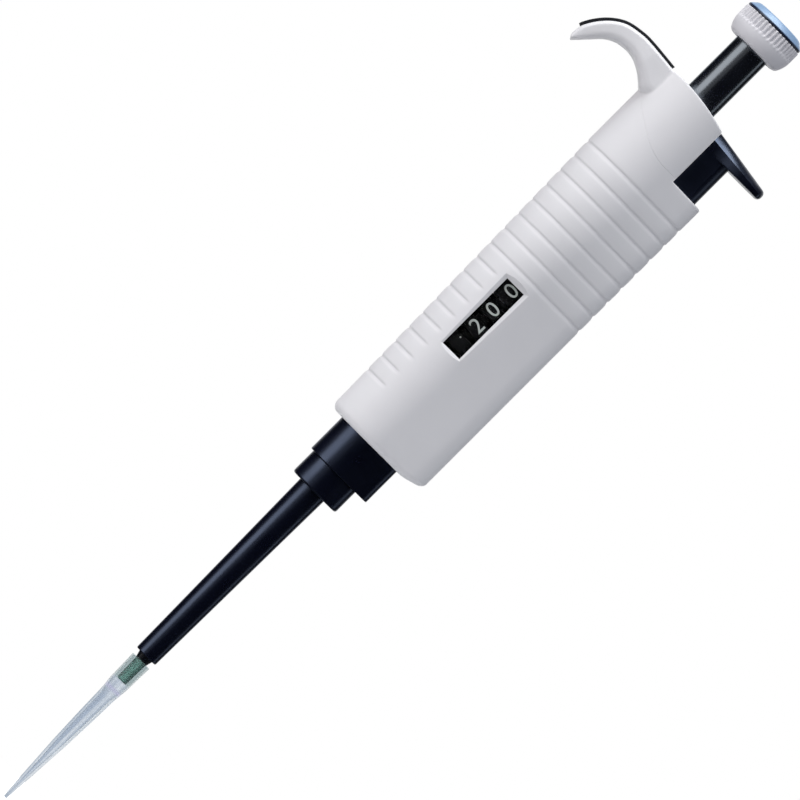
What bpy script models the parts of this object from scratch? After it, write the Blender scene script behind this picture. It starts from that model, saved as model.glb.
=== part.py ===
"""A 200 microlitre adjustable micropipette with its disposable tip, upright.

+Z runs up the plunger's axis, from the tip's orifice to the knob. The finger hook points to -X,
the ejector button to +X, and the volume window looks to -Y.
"""

import math

import bmesh
import bpy
from mathutils import Matrix, Vector

# Fits
GAP = 0.0003            # between pieces that seat on, slide in or turn on each other
LOOSE = 0.0004          # round the spindle, which slides and turns
OVERSHOOT = 0.0010      # how far a cutter runs past the face it cuts

# Facets
ROUND = 24
SMALL_ROUND = 16
WHEEL_ROUND = 20
CAVITY_STEPS = 5
CROWN_STEPS = 7
SHANK_STEPS = 8
WIRE_POINTS = 8         # along one turn of a spring

# Disposable tip
TIP_LENGTH = 0.0500
TIP_RIM_R = 0.0030
TIP_COLLAR_R = 0.00275
TIP_COLLAR_LENGTH = 0.0104
TIP_NECK_R = 0.00238
TIP_ORIFICE_R = 0.00050
TIP_WALL = 0.00050

# Tip cone: the lower barrel that holds the tip, the chamber and the seals
CONE_IN_TIP = 0.0073
CONE_END_R = 0.00175
CONE_TIP_R = 0.0021
CONE_STEM_R = 0.0022
CONE_STEM_TOP_R = 0.00335
CONE_BARREL_R = 0.0056
CONE_THREAD_R = 0.0066
CONE_THREAD_LENGTH = 0.0078
CONE_WALL = 0.0008
AIR_BORE_R = 0.0007
AIR_BORE_TOP_R = 0.0011

# Ejector sleeve and collar
TIP_RIM_GAP = 0.0018
SLEEVE_LENGTH = 0.0610
SLEEVE_END_R = 0.00335
SLEEVE_TOP_R = 0.0043
SLEEVE_CHAMFER = 0.0006
NARROW_R = 0.0070
NARROW_SMALL_R = 0.0050
NARROW_REACH = 0.0034
NARROW_HEIGHT = 0.0072
NARROW_FLOOR = 0.0015
SPIGOT_LENGTH = 0.0070
SPIGOT_WALL = 0.0007
WIDE_R = 0.0079
WIDE_SMALL_R = 0.0036
WIDE_REACH = 0.0086
WIDE_SHOWN = 0.0117
WIDE_HIDDEN = 0.0083
COLLAR_CHAMFER = 0.0007
EJECT_STROKE = 0.0085

# Handle shell
BIG_R_BOTTOM = 0.0118
BIG_R_TOP = 0.0136
SMALL_R = 0.0072
SMALL_REACH = 0.0128
SHELL_WALL = 0.0018
SHELL_FLOOR = 0.0023
EDGE_R = 0.0022
GROOVE_DEPTH = 0.0005
GROOVE_HALF = 0.0009
GRIP_GROOVES = 8
GRIP_PITCH = 0.00521
GRIP_TOP_DROP = 0.0078      # from the shoulder to the top groove
SIDE_GROOVES = 9
SIDE_PITCH = 0.00508
SIDE_END_X = -0.0057        # the side grooves stop here
SHOULDER_PLATE = 0.0018

# Top cap and finger hook
CUT_BACK_X = 0.0096
CAP_HEIGHT = 0.0207
CAP_CREST_X = -0.0100       # the cap's top is level as far as here, then falls away
CAP_FALL = 6.8              # metres of fall for each square metre of the way beyond
CAP_PLATE = 0.0022
TONGUE_WALL = 0.0012
TONGUE_DEPTH = 0.0033
BOSS_R = 0.0087
BUSH_WALL = 0.0011
BUSH_LENGTH = 0.0068
PARTING_LEFT_Z = 0.0107     # the parting line over the shoulder, at the hook side
PARTING_RIGHT_Z = 0.0010    # and at the ejector side
HOOK_HALF_WIDTH = 0.0088
HOOK_TIP_HALF_WIDTH = 0.0062
HOOK_CROWN = 0.0011
HOOK_EASE = 0.0010          # the rounding of the hook's inner edges
STRIP_HALF_WIDTH = 0.0020
STRIP_DEPTH = 0.0004
STRIP_THICKNESS = 0.0006

# Volume window and counter
WINDOW_HEIGHT = 0.0235
WINDOW_HALF_WIDTH = 0.00295
WINDOW_FRAME = 0.0013       # width of the bevel round the window, at the surface
WINDOW_FRAME_DEPTH = 0.0009
LENS_THICKNESS = 0.0007
LENS_LAND = 0.0006
WHEEL_PITCH = 0.00587
WHEEL_R = 0.0094
WHEEL_RIM_WIDTH = 0.0041
WHEEL_WEB = 0.0011
WHEEL_RIM_WALL = 0.0012
WHEEL_START = 0.0006        # above the window's lower edge
GEAR_MODULE = 0.00078
GEAR_TEETH = 20
ADDENDUM = 0.65             # in modules
DEDENDUM = 1.05
PINION_TEETH = 6
PINION_WIDTH = 0.0009
PINION_SHAFT_R = 0.0005
PINION_ANGLE = math.radians(20.0)
HUB_R = 0.0038
HUB_SHELF = 0.0012
FRAME_R = 0.0080

# Plunger, piston and springs
PISTON_R = 0.00225
STROKE = 0.0126
BLOWOUT = 0.0029
PISTON_HEAD = 0.0018
PISTON_CHAMFER = 0.0004
HEAD_ROOM = 0.0004          # over the piston's head, under the counter
SEAL_RISE = 0.0061          # from the cone's shoulder up to the seal
SEAL_HEIGHT = 0.0025
SEAL_R = 0.0038
O_RING_R = 0.0007
RETAINER_HEIGHT = 0.0025
BLOWOUT_SPRING_LENGTH = 0.0090
BLOWOUT_WIRE = 0.0011
BLOWOUT_TURNS = 4.0
CUP_FLOOR = 0.0012
CUP_WALL = 0.0005
MAIN_SPRING_LENGTH = 0.0201
MAIN_WIRE = 0.0007
MAIN_TURNS = 7.0
SPINDLE_R = 0.0024
PIN_R = 0.0010
PIN_HALF_LENGTH = 0.0076
PLUNGER_R = 0.00525
PLUNGER_WALL = 0.0018
PLUNGER_HIDDEN = 0.0074
PLUNGER_SHOWN = 0.0183

# Volume drive
DRIVE_R = 0.0055
SLOT_LAND = 0.00048         # of the sleeve, from the middle plate up to the pin's slots
NUT_R = 0.0085
NUT_HEIGHT = 0.0050
NUT_TRAVEL = 0.01134
NUT_TAB = 0.0032
KEY_RIB = 0.0011
RING_ROOM = 0.0020          # for the friction ring, over the nut
PLATE = 0.0029
TOP_PLATE = 0.0035
TOP_PLATE_DROP = 0.0038     # from the shoulder to the top plate's upper face

# Knob
KNOB_HEIGHT = 0.0078
KNOB_R = 0.0093
KNOB_FOOT_R = 0.0076
KNOB_BAND = 0.0043
FLUTES = 44
FLUTED_R = 0.00915
FLUTE_DEPTH = 0.0004
KNOB_CAP_HEIGHT = 0.0025
KNOB_CAP_R = 0.00915
KNOB_CAP_TOP_R = 0.00725
KNOB_CAP_EDGE = 0.0005
KNOB_SPIGOT_R = 0.0060

# Ejector button and rod
SHANK_HALF_WIDTH = 0.0043
SHANK_BELOW = 0.0133        # how far the shank runs down inside the shell
BUTTON_TOP = 0.0181         # above the shoulder
BUTTON_UNDER = 0.0124
BUTTON_REACH = 0.0288
BUTTON_TIP_DROP = 0.0028
BUTTON_HALF_WIDTH = 0.0062
BUTTON_EASE = 0.0008
ROD_R = 0.0013
ROD_LOW_X = 0.0100
ROD_HIGH_X = 0.0139
ROD_SOCKET = 0.0035
EJECTOR_WIRE = 0.0006
EJECTOR_SPRING_R = 0.0026
EJECTOR_TURNS = 8.0

# Levels on the axis, from the tip's orifice up
Z_SLEEVE = TIP_LENGTH + TIP_RIM_GAP
Z_NARROW = Z_SLEEVE + SLEEVE_LENGTH
Z_WIDE = Z_NARROW + NARROW_HEIGHT + GAP
Z_BODY = Z_WIDE + WIDE_SHOWN - GAP
Z_COLLAR_TOP = Z_BODY + WIDE_HIDDEN
Z_SOCKET = Z_COLLAR_TOP + 4 * GAP
Z_SOCKET_TOP = Z_SOCKET + CONE_THREAD_LENGTH + GAP
Z_CONE_SHOULDER = Z_NARROW + NARROW_FLOOR + 2 * GAP
Z_SEAL = Z_CONE_SHOULDER + SEAL_RISE
Z_O_RING = Z_SEAL + GAP + SEAL_HEIGHT + GAP + O_RING_R
Z_RETAINER_STEP = Z_O_RING + O_RING_R + 3 * GAP
Z_RETAINER_TOP = Z_RETAINER_STEP + GAP + RETAINER_HEIGHT
Z_BLOWOUT_SPRING = Z_RETAINER_TOP + GAP
Z_CUP = Z_BLOWOUT_SPRING + BLOWOUT_SPRING_LENGTH + GAP
Z_MAIN_SPRING = Z_CUP + CUP_FLOOR + GAP
Z_HEAD = Z_MAIN_SPRING + MAIN_SPRING_LENGTH + GAP
Z_CUP_RIM = Z_HEAD - STROKE - GAP
Z_SPINDLE = Z_HEAD + PISTON_HEAD + GAP
Z_WHEELS = Z_HEAD + PISTON_HEAD + HEAD_ROOM + HUB_SHELF + GAP
Z_WINDOW = Z_WHEELS - WHEEL_START
Z_WHEELS_TOP = Z_WHEELS + 4 * WHEEL_PITCH
Z_PLATE = Z_WHEELS_TOP + GAP
Z_PLATE_TOP = Z_PLATE + PLATE
Z_PIN = Z_PLATE_TOP + SLOT_LAND + PIN_R + GAP + BLOWOUT + STROKE
Z_NUT = Z_PIN + PIN_R + GAP + NUT_TRAVEL
Z_TOP_PLATE = Z_NUT + NUT_HEIGHT + RING_ROOM
Z_SHOULDER = Z_TOP_PLATE + TOP_PLATE + TOP_PLATE_DROP
Z_GRIP_TOP = Z_SHOULDER - GRIP_TOP_DROP
Z_TOP = Z_SHOULDER + CAP_HEIGHT
Z_KNOB = Z_TOP + PLUNGER_SHOWN
Z_KNOB_TOP = Z_KNOB + KNOB_HEIGHT
Z_SHANK = Z_SHOULDER - SHANK_BELOW

# Radii that follow from a fit
BORE_R = PISTON_R + GAP
SPRING_BORE_R = CONE_BARREL_R - CONE_WALL
HEAD_R = SPRING_BORE_R - GAP
SLEEVE_BORE_R = CONE_STEM_R + GAP
SLEEVE_BORE_TOP_R = CONE_STEM_TOP_R + GAP
BARREL_FIT_R = CONE_BARREL_R + GAP
SPIGOT_R = BARREL_FIT_R + SPIGOT_WALL
SPINDLE_FIT_R = SPINDLE_R + LOOSE
DRIVE_FIT_R = DRIVE_R + GAP
PLUNGER_FIT_R = PLUNGER_R + GAP
WHEEL_BORE_R = HUB_R + GAP
PINION_CENTRE = GEAR_MODULE * (GEAR_TEETH + PINION_TEETH) / 2
PINION_X = PINION_CENTRE * math.cos(PINION_ANGLE)
PINION_Y = PINION_CENTRE * math.sin(PINION_ANGLE)

# Colour, metallic value and roughness of each material
FINISHES = {
    "grey_plastic": ((0.72, 0.73, 0.75), 0.0, 0.42),
    "black_plastic": ((0.010, 0.011, 0.016), 0.0, 0.28),
    "dark_plastic": ((0.030, 0.034, 0.036), 0.0, 0.35),
    "clear_plastic": ((0.85, 0.88, 0.90), 0.0, 0.08),
    "tip_plastic": ((0.78, 0.84, 0.90), 0.0, 0.22),
    "blue_plastic": ((0.045, 0.110, 0.250), 0.0, 0.30),
    "white_plastic": ((0.80, 0.80, 0.78), 0.0, 0.45),
    "rubber": ((0.020, 0.020, 0.020), 0.0, 0.80),
    "steel": ((0.62, 0.63, 0.65), 1.0, 0.28),
    "brass": ((0.78, 0.60, 0.28), 1.0, 0.32),
}


def clear_scene():
    for obj in list(bpy.data.objects):
        bpy.data.objects.remove(obj, do_unlink=True)


def new_collection(name):
    collection = bpy.data.collections.new(name)
    bpy.context.scene.collection.children.link(collection)
    return collection


clear_scene()
PARTS = new_collection("micropipette")
CUTTERS = new_collection("cutters")


def material(name):
    """The material of that finish, made the first time it is asked for."""
    if name in bpy.data.materials:
        return bpy.data.materials[name]
    colour, metallic, roughness = FINISHES[name]
    made = bpy.data.materials.new(name)
    made.use_nodes = True
    shader = made.node_tree.nodes["Principled BSDF"]
    shader.inputs["Base Color"].default_value = (*colour, 1.0)
    shader.inputs["Metallic"].default_value = metallic
    shader.inputs["Roughness"].default_value = roughness
    return made


def place(name, mesh, finish):
    """A part when it has a finish, and a hidden cutter when it has none."""
    obj = bpy.data.objects.new(name, mesh)
    if finish is None:
        CUTTERS.objects.link(obj)
        obj.hide_render = True
        obj.display_type = "WIRE"
        return obj
    PARTS.objects.link(obj)
    mesh.materials.append(material(finish))
    mesh.shade_smooth()
    mesh.set_sharp_from_angle(angle=math.radians(35))
    return obj


def mesh_of(bm, name):
    bmesh.ops.recalc_face_normals(bm, faces=bm.faces[:])
    mesh = bpy.data.meshes.new(name)
    bm.to_mesh(mesh)
    bm.free()
    return mesh


def loft(name, rings, finish=None):
    """A solid through rings that have the same number of points, closed by flat ends."""
    bm = bmesh.new()
    loops = [[bm.verts.new(point) for point in ring] for ring in rings]
    count = len(rings[0])
    for low, high in zip(loops, loops[1:]):
        for i in range(count):
            j = (i + 1) % count
            bm.faces.new((low[i], low[j], high[j], high[i]))
    bm.faces.new(reversed(loops[0]))
    bm.faces.new(loops[-1])
    return place(name, mesh_of(bm, name), finish)


def prism(name, outline, low, high, finish=None):
    """An outline in X and Y, drawn out from one height to another."""
    rings = [[(x, y, z) for x, y in outline] for z in (low, high)]
    return loft(name, rings, finish)


def side_prism(name, outline, half_width, finish=None):
    """An outline in X and Z, drawn out to both sides of the XZ plane."""
    rings = [[(x, y, z) for x, z in outline] for y in (-half_width, half_width)]
    return loft(name, rings, finish)


def box(name, low, high, finish=None):
    bm = bmesh.new()
    bmesh.ops.create_cube(bm, size=1.0)
    size = Vector(high) - Vector(low)
    middle = (Vector(high) + Vector(low)) / 2
    bmesh.ops.scale(bm, vec=size, verts=bm.verts[:])
    bmesh.ops.translate(bm, vec=middle, verts=bm.verts[:])
    return place(name, mesh_of(bm, name), finish)


def rod(name, radius, low, high, at=(0.0, 0.0), finish=None, steps=SMALL_ROUND):
    """A round bar or round cutter along Z."""
    bm = bmesh.new()
    bmesh.ops.create_cone(
        bm,
        cap_ends=True,
        segments=steps,
        radius1=radius,
        radius2=radius,
        depth=high - low,
        matrix=Matrix.Translation((at[0], at[1], (low + high) / 2)),
    )
    return place(name, mesh_of(bm, name), finish)


def turned(name, profile, finish=None, steps=ROUND):
    """A profile of (radius, height), down its outer side and up its bore, turned about Z."""
    mesh = bpy.data.meshes.new(name)
    points = [(r, 0.0, z) for r, z in profile]
    edges = [(i, i + 1) for i in range(len(points) - 1)]
    if all(r > 0 for r, _ in profile):
        edges.append((len(points) - 1, 0))
    mesh.from_pydata(points, edges, [])
    obj = place(name, mesh, finish)
    screw = obj.modifiers.new("turn", "SCREW")
    screw.steps = steps
    screw.render_steps = steps
    screw.use_merge_vertices = True
    screw.merge_threshold = 0.000001
    return obj


def cut(obj, *cutters):
    for cutter in cutters:
        boolean = obj.modifiers.new(cutter.name, "BOOLEAN")
        boolean.operation = "DIFFERENCE"
        boolean.object = cutter


def join(obj, *others):
    for other in others:
        boolean = obj.modifiers.new(other.name, "BOOLEAN")
        boolean.operation = "UNION"
        boolean.object = other


def move_origin(obj, x, y):
    """Sets the object's origin on its own axis, with its shape where it was."""
    obj.data.transform(Matrix.Translation((-x, -y, 0.0)))
    obj.location = (x, y, 0.0)


def wire(name, points, radius, finish, sides=1):
    curve = bpy.data.curves.new(name, "CURVE")
    curve.dimensions = "3D"
    curve.bevel_depth = radius
    curve.bevel_resolution = sides
    curve.use_fill_caps = True
    spline = curve.splines.new("POLY")
    spline.points.add(len(points) - 1)
    for target, point in zip(spline.points, points):
        target.co = (*point, 1.0)
    obj = bpy.data.objects.new(name, curve)
    PARTS.objects.link(obj)
    curve.materials.append(material(finish))
    return obj


def coil(name, mean_r, wire_d, low, length, turns, at=(0.0, 0.0), finish="steel"):
    """A compression spring that fills the height from low to low + length."""
    count = int(turns * WIRE_POINTS)
    rise = length - wire_d
    points = []
    for i in range(count + 1):
        angle = 2 * math.pi * turns * i / count
        x = at[0] + mean_r * math.cos(angle)
        y = at[1] + mean_r * math.sin(angle)
        points.append((x, y, low + wire_d / 2 + rise * i / count))
    return wire(name, points, wire_d / 2, finish)


def egg(big_r, small_r, reach, inset=0.0, big_steps=15, small_steps=9):
    """Two circles and their tangents: the big one on the axis, the small one at +X."""
    big_r = big_r - inset
    small_r = small_r - inset
    meet = math.acos((big_r - small_r) / reach)
    points = []
    for i in range(small_steps):
        angle = -meet + 2 * meet * i / (small_steps - 1)
        points.append((reach + small_r * math.cos(angle), small_r * math.sin(angle)))
    for i in range(big_steps):
        angle = meet + 2 * (math.pi - meet) * i / (big_steps - 1)
        points.append((big_r * math.cos(angle), big_r * math.sin(angle)))
    return points


def clipped_round(radius, clip_x, steps=ROUND):
    """A circle with a flat side at x = clip_x."""
    meet = math.acos(clip_x / radius)
    points = []
    for i in range(steps):
        angle = meet + 2 * (math.pi - meet) * i / (steps - 1)
        points.append((radius * math.cos(angle), radius * math.sin(angle)))
    return points


def gear_outline(teeth, root_share, tip_share):
    """Straight-sided teeth; the shares are their half widths at root and tip, of one pitch."""
    pitch_r = GEAR_MODULE * teeth / 2
    tip_r = pitch_r + ADDENDUM * GEAR_MODULE
    root_r = pitch_r - DEDENDUM * GEAR_MODULE
    pitch = 2 * math.pi / teeth
    points = []
    for tooth in range(teeth):
        for r, share in (
            (root_r, -root_share), (tip_r, -tip_share), (tip_r, tip_share), (root_r, root_share)
        ):
            angle = (tooth + share) * pitch
            points.append((r * math.cos(angle), r * math.sin(angle)))
    return points


# Handle shell

def shell_radius(z):
    """The big end's radius, which grows evenly from the shell's bottom to its top groove."""
    share = min(1.0, max(0.0, (z - Z_BODY) / (Z_GRIP_TOP - Z_BODY)))
    return BIG_R_BOTTOM + (BIG_R_TOP - BIG_R_BOTTOM) * share


def shell_outline(z, inset=0.0):
    return egg(shell_radius(z), SMALL_R, SMALL_REACH, inset)


def shell_ring(z, inset=0.0, side_inset=0.0):
    """One ring of the outside; side_inset draws in only the hook side's grip."""
    ring = []
    for plain, low in zip(shell_outline(z, inset), shell_outline(z, side_inset)):
        x, y = low if side_inset and plain[0] < SIDE_END_X else plain
        ring.append((x, y, z))
    return ring


def grip_heights():
    return [Z_GRIP_TOP - i * GRIP_PITCH for i in reversed(range(GRIP_GROOVES))]


def side_heights():
    top = grip_heights()[0] - SIDE_PITCH
    return [top - i * SIDE_PITCH for i in reversed(range(SIDE_GROOVES))]


def shell_rings():
    rings = []
    for share in (0.0, 0.3, 0.65, 1.0):
        z = Z_BODY + EDGE_R * (1 - math.cos(share * math.pi / 2))
        inset = EDGE_R * (1 - math.sin(share * math.pi / 2))
        rings.append(shell_ring(z, inset))
    for z in side_heights():
        rings.append(shell_ring(z - GROOVE_HALF))
        rings.append(shell_ring(z, side_inset=GROOVE_DEPTH))
        rings.append(shell_ring(z + GROOVE_HALF))
    for z in grip_heights():
        rings.append(shell_ring(z - GROOVE_HALF))
        rings.append(shell_ring(z, inset=GROOVE_DEPTH))
        rings.append(shell_ring(z + GROOVE_HALF))
    rings.append(shell_ring(Z_TOP))
    return rings


def parting_line(lift=0.0):
    """The S curve in X and Z where the top cap meets the shell, from the hook side."""
    shape = ((-1.0, 0.0), (-0.90, 0.03), (-0.75, 0.27), (-0.42, 0.56), (-0.08, 0.84), (0.24, 1.0))
    fall = PARTING_LEFT_Z - PARTING_RIGHT_Z
    line = []
    for across, down in shape:
        x = across * BIG_R_TOP
        line.append((x, Z_SHOULDER + PARTING_LEFT_Z - down * fall + lift))
    line.append((CUT_BACK_X, Z_SHOULDER + PARTING_RIGHT_Z + lift))
    return line


def window_bevel():
    """The tapered recess round the window, wide at the surface."""
    front = -shell_radius(Z_WINDOW + WINDOW_HEIGHT / 2)
    rings = []
    slope = WINDOW_FRAME / WINDOW_FRAME_DEPTH
    for depth in (-OVERSHOOT, WINDOW_FRAME_DEPTH):
        grow = slope * (WINDOW_FRAME_DEPTH - depth)
        w = WINDOW_HALF_WIDTH + grow
        low = Z_WINDOW - grow
        high = Z_WINDOW + WINDOW_HEIGHT + grow
        y = front + depth
        rings.append([(-w, y, low), (w, y, low), (w, y, high), (-w, y, high)])
    return loft("cut_window_bevel", rings)


def lens_front():
    """The Y of the lens's outer face, just inside the land that holds it."""
    return -shell_radius(Z_WINDOW) + SHELL_WALL - LENS_THICKNESS


def window_cutters():
    w = WINDOW_HALF_WIDTH
    high = Z_WINDOW + WINDOW_HEIGHT
    front = -BIG_R_TOP - OVERSHOOT
    opening = box("cut_window", (-w, front, Z_WINDOW), (w, -WHEEL_R, high))
    w += LENS_LAND + GAP
    land = LENS_LAND + GAP
    seat = box(
        "cut_lens_seat",
        (-w, lens_front() - GAP, Z_WINDOW - land),
        (w, -WHEEL_R, high + land),
    )
    return opening, seat, window_bevel()


def handle_shell():
    shell = loft("handle_shell", shell_rings(), "grey_plastic")
    rings = []
    floor = Z_BODY + SHELL_FLOOR
    for i in range(CAVITY_STEPS):
        z = floor + (Z_GRIP_TOP - floor) * i / CAVITY_STEPS
        rings.append([(x, y, z) for x, y in shell_outline(z, SHELL_WALL)])
    for z in (Z_GRIP_TOP, Z_SHOULDER - SHOULDER_PLATE):
        rings.append([(x, y, z) for x, y in shell_outline(z, SHELL_WALL)])
    cavity = loft("cut_cavity", rings)
    inner_r = BIG_R_TOP - SHELL_WALL
    upper = prism(
        "cut_upper_cavity",
        clipped_round(inner_r, CUT_BACK_X - SHELL_WALL),
        Z_SHOULDER - 2 * SHOULDER_PLATE,
        Z_TOP + OVERSHOOT,
    )
    collar_fit = egg(WIDE_R, WIDE_SMALL_R, WIDE_REACH, -GAP)
    mouth = prism("cut_mouth", collar_fit, Z_BODY - OVERSHOOT, Z_BODY + SHELL_FLOOR + OVERSHOOT)
    step = box(
        "cut_step",
        (CUT_BACK_X, -BIG_R_TOP - SMALL_R, Z_SHOULDER),
        (SMALL_REACH + SMALL_R + OVERSHOOT, BIG_R_TOP + SMALL_R, Z_TOP + OVERSHOOT),
    )
    shank_hole = prism(
        "cut_shank_hole", shank_outline(GAP), Z_SHOULDER - 2 * SHOULDER_PLATE,
        Z_SHOULDER + OVERSHOOT,
    )
    edge = 2 * BIG_R_TOP
    above = parting_line() + [(edge, Z_SHOULDER + PARTING_RIGHT_Z), (edge, Z_TOP + edge)]
    above += [(-edge, Z_TOP + edge), (-edge, Z_SHOULDER + PARTING_LEFT_Z)]
    lid = side_prism("cut_lid", above, edge)
    cut(shell, cavity, upper, mouth, step, shank_hole, *window_cutters(), lid)
    join(shell, *key_ribs())
    return shell


def shank_outline(grow=0.0):
    """The button's shank from above: flat beside the cap, round towards the shell's small end."""
    left = CUT_BACK_X + GAP - grow
    w = SHANK_HALF_WIDTH + grow
    radius = SMALL_R - SHELL_WALL - GAP + grow
    meet = math.asin(w / radius)
    points = [(left, -w)]
    for i in range(SHANK_STEPS + 1):
        angle = -meet + 2 * meet * i / SHANK_STEPS
        points.append((SMALL_REACH + radius * math.cos(angle), radius * math.sin(angle)))
    points.append((left, w))
    return points


def key_ribs():
    """Two ribs inside the hook side, between which the volume nut's tab slides."""
    ribs = []
    bottom = Z_NUT - NUT_TRAVEL - 4 * GAP
    inner = -NUT_R - 2 * GAP
    outer = -shell_radius(bottom) + SHELL_WALL / 2
    for side in (-1, 1):
        near = side * (NUT_TAB / 2 + GAP)
        far = side * (NUT_TAB / 2 + GAP + KEY_RIB)
        low = (outer, min(near, far), bottom)
        high = (inner, max(near, far), Z_TOP_PLATE - GAP)
        ribs.append(box(f"add_key_rib_{side}", low, high))
    return ribs


def window_lens():
    w = WINDOW_HALF_WIDTH + LENS_LAND
    front = lens_front()
    low = (-w, front, Z_WINDOW - LENS_LAND)
    high = (w, front + LENS_THICKNESS, Z_WINDOW + WINDOW_HEIGHT + LENS_LAND)
    return box("window_lens", low, high, "clear_plastic")


# Top cap with the finger hook

def cap_top(x):
    """The height of the cap's top, level at the hook side and falling towards the button."""
    return Z_TOP - CAP_FALL * max(0.0, x - CAP_CREST_X) ** 2


def z_cap_plate():
    """The underside of the cap's top plate, level with its thinnest place."""
    return cap_top(CUT_BACK_X) - CAP_PLATE


# The hook's inner edge and its crest, from the tip to the root, as (x from the axis, z over Z_SHOULDER)
HOOK_INNER = (
    (-0.0354, 0.0076), (-0.0321, 0.0111), (-0.0293, 0.0140), (-0.0264, 0.0156),
    (-0.0229, 0.0161), (-0.0200, 0.0156), (-0.0171, 0.0141), (-0.0150, 0.0124),
    (-0.0132, 0.0110), (-0.0095, 0.0110),
)
HOOK_CREST = (
    (-0.0365, 0.0088), (-0.0359, 0.0128), (-0.0325, 0.0179), (-0.0282, 0.0209),
    (-0.0229, 0.0219), (-0.0193, 0.0219), (-0.0158, 0.0216), (-0.0128, 0.0212),
    (-0.0100, 0.0208), (-0.0070, 0.0200),
)


def smooth_path(points, parts=2):
    """Catmull-Rom points through the given ones."""
    path = []
    count = len(points)
    for i in range(count - 1):
        a, b = Vector(points[max(i - 1, 0)]), Vector(points[i])
        c, d = Vector(points[i + 1]), Vector(points[min(i + 2, count - 1)])
        for step in range(parts):
            t = step / parts
            path.append(
                0.5 * (2 * b + (c - a) * t + (2 * a - 5 * b + 4 * c - d) * t * t
                       + (3 * b - a - 3 * c + d) * t ** 3)
            )
    path.append(Vector(points[-1]))
    return path


def hook_stations():
    """For each station: inner point, unit vector to the crest, thickness and half width."""
    inner = smooth_path(HOOK_INNER)
    crest = smooth_path(HOOK_CREST)
    stations = []
    for i, (a, b) in enumerate(zip(inner, crest)):
        share = i / (len(inner) - 1)
        out = b - a
        spread = min(1.0, 1.6 * share)
        width = HOOK_TIP_HALF_WIDTH + (HOOK_HALF_WIDTH - HOOK_TIP_HALF_WIDTH) * spread
        stations.append((a, out.normalized(), out.length, width))
    return stations


def hook_ring(station):
    """A cross-section: flat inside with eased edges, a crowned back and the strip's groove."""
    base, out, thick, width = station
    crown = min(HOOK_CROWN, 0.5 * thick)
    floor = thick - STRIP_DEPTH
    half = [
        (width - HOOK_EASE, 0.0), (width, 0.7 * HOOK_EASE), (width, thick - crown),
        (0.72 * width, thick - 0.35 * crown), (STRIP_HALF_WIDTH + GAP, thick),
        (STRIP_HALF_WIDTH + GAP, floor),
    ]
    section = [(-y, h) for y, h in half] + [(y, h) for y, h in reversed(half)]
    ring = []
    for y, h in section:
        spot = base + out * h
        ring.append((spot.x, y, Z_SHOULDER + spot.y))
    return ring


def above_cap():
    """A cutter that leaves the cap's crowned top."""
    line = [(-2 * BIG_R_TOP, Z_TOP), (CAP_CREST_X, Z_TOP)]
    for i in range(1, CROWN_STEPS + 1):
        x = CAP_CREST_X + (CUT_BACK_X + OVERSHOOT - CAP_CREST_X) * i / CROWN_STEPS
        line.append((x, cap_top(x)))
    high = Z_TOP + BIG_R_TOP
    line += [(CUT_BACK_X + OVERSHOOT, high), (-2 * BIG_R_TOP, high)]
    return side_prism("cut_above_cap", line, 2 * BIG_R_TOP)


def below_parting():
    """A cutter that trims the cap to the shell's parting line, with a gap."""
    edge = 2 * BIG_R_TOP
    line = parting_line(GAP)
    deep = Z_SHOULDER - 4 * TONGUE_DEPTH
    left = -BIG_R_TOP - 2 * GAP
    line += [(edge, line[-1][1]), (edge, deep), (left, deep), (left, line[0][1])]
    return side_prism("cut_skirt", line, edge)


def top_cap():
    """A moulding: barrel, crowned top, finger hook, tongue and the bush's boss in one."""
    z_tongue = Z_SHOULDER - TONGUE_DEPTH
    barrel = clipped_round(BIG_R_TOP, CUT_BACK_X)
    cap = prism("top_cap", barrel, z_tongue, Z_TOP + OVERSHOOT, "grey_plastic")
    hook = loft("add_hook", [hook_ring(s) for s in hook_stations()])
    tongue_r = BIG_R_TOP - SHELL_WALL - GAP
    tongue_flat = CUT_BACK_X - SHELL_WALL - GAP
    z_under = z_cap_plate()
    tongue = prism("add_tongue", clipped_round(tongue_r, tongue_flat), z_tongue, z_under)
    inside = clipped_round(tongue_r - TONGUE_WALL, tongue_flat - TONGUE_WALL)
    hollow = prism("cut_cap_hollow", inside, z_tongue - OVERSHOOT, z_under)
    z_boss = z_under - BUSH_LENGTH
    boss = rod("add_boss", BOSS_R, z_boss, z_under + OVERSHOOT, steps=ROUND)
    seat = rod("cut_bush_seat", bush_r() + GAP, z_boss - OVERSHOOT, z_under, steps=ROUND)
    hole = rod("cut_plunger_hole", PLUNGER_FIT_R, z_boss, Z_TOP + 4 * OVERSHOOT, steps=ROUND)
    cut(cap, above_cap())
    join(cap, hook)
    cut(cap, below_parting())
    join(cap, tongue)
    cut(cap, hollow)
    join(cap, boss)
    cut(cap, seat, hole)
    return cap


def bush_r():
    return PLUNGER_FIT_R + BUSH_WALL


def plunger_bush():
    top = z_cap_plate() - GAP
    low = top - BUSH_LENGTH + GAP
    profile = [(bush_r(), top), (bush_r(), low), (PLUNGER_FIT_R, low), (PLUNGER_FIT_R, top)]
    return turned("plunger_bush", profile, "white_plastic")


def hook_strip():
    """The dark inlay along the crest of the hook, from near the tip to the cap's top."""
    rings = []
    for base, out, thick, _ in hook_stations()[2:-3]:
        ring = []
        low = thick - STRIP_DEPTH + GAP
        for y, h in ((-1, 0), (1, 0), (1, 0.6), (0.6, 1), (-0.6, 1), (-1, 0.6)):
            spot = base + out * (low + h * STRIP_THICKNESS)
            ring.append((spot.x, y * STRIP_HALF_WIDTH, Z_SHOULDER + spot.y))
        rings.append(ring)
    return loft("hook_strip", rings, "black_plastic")


# Lower end: tip, cone, seals

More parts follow.
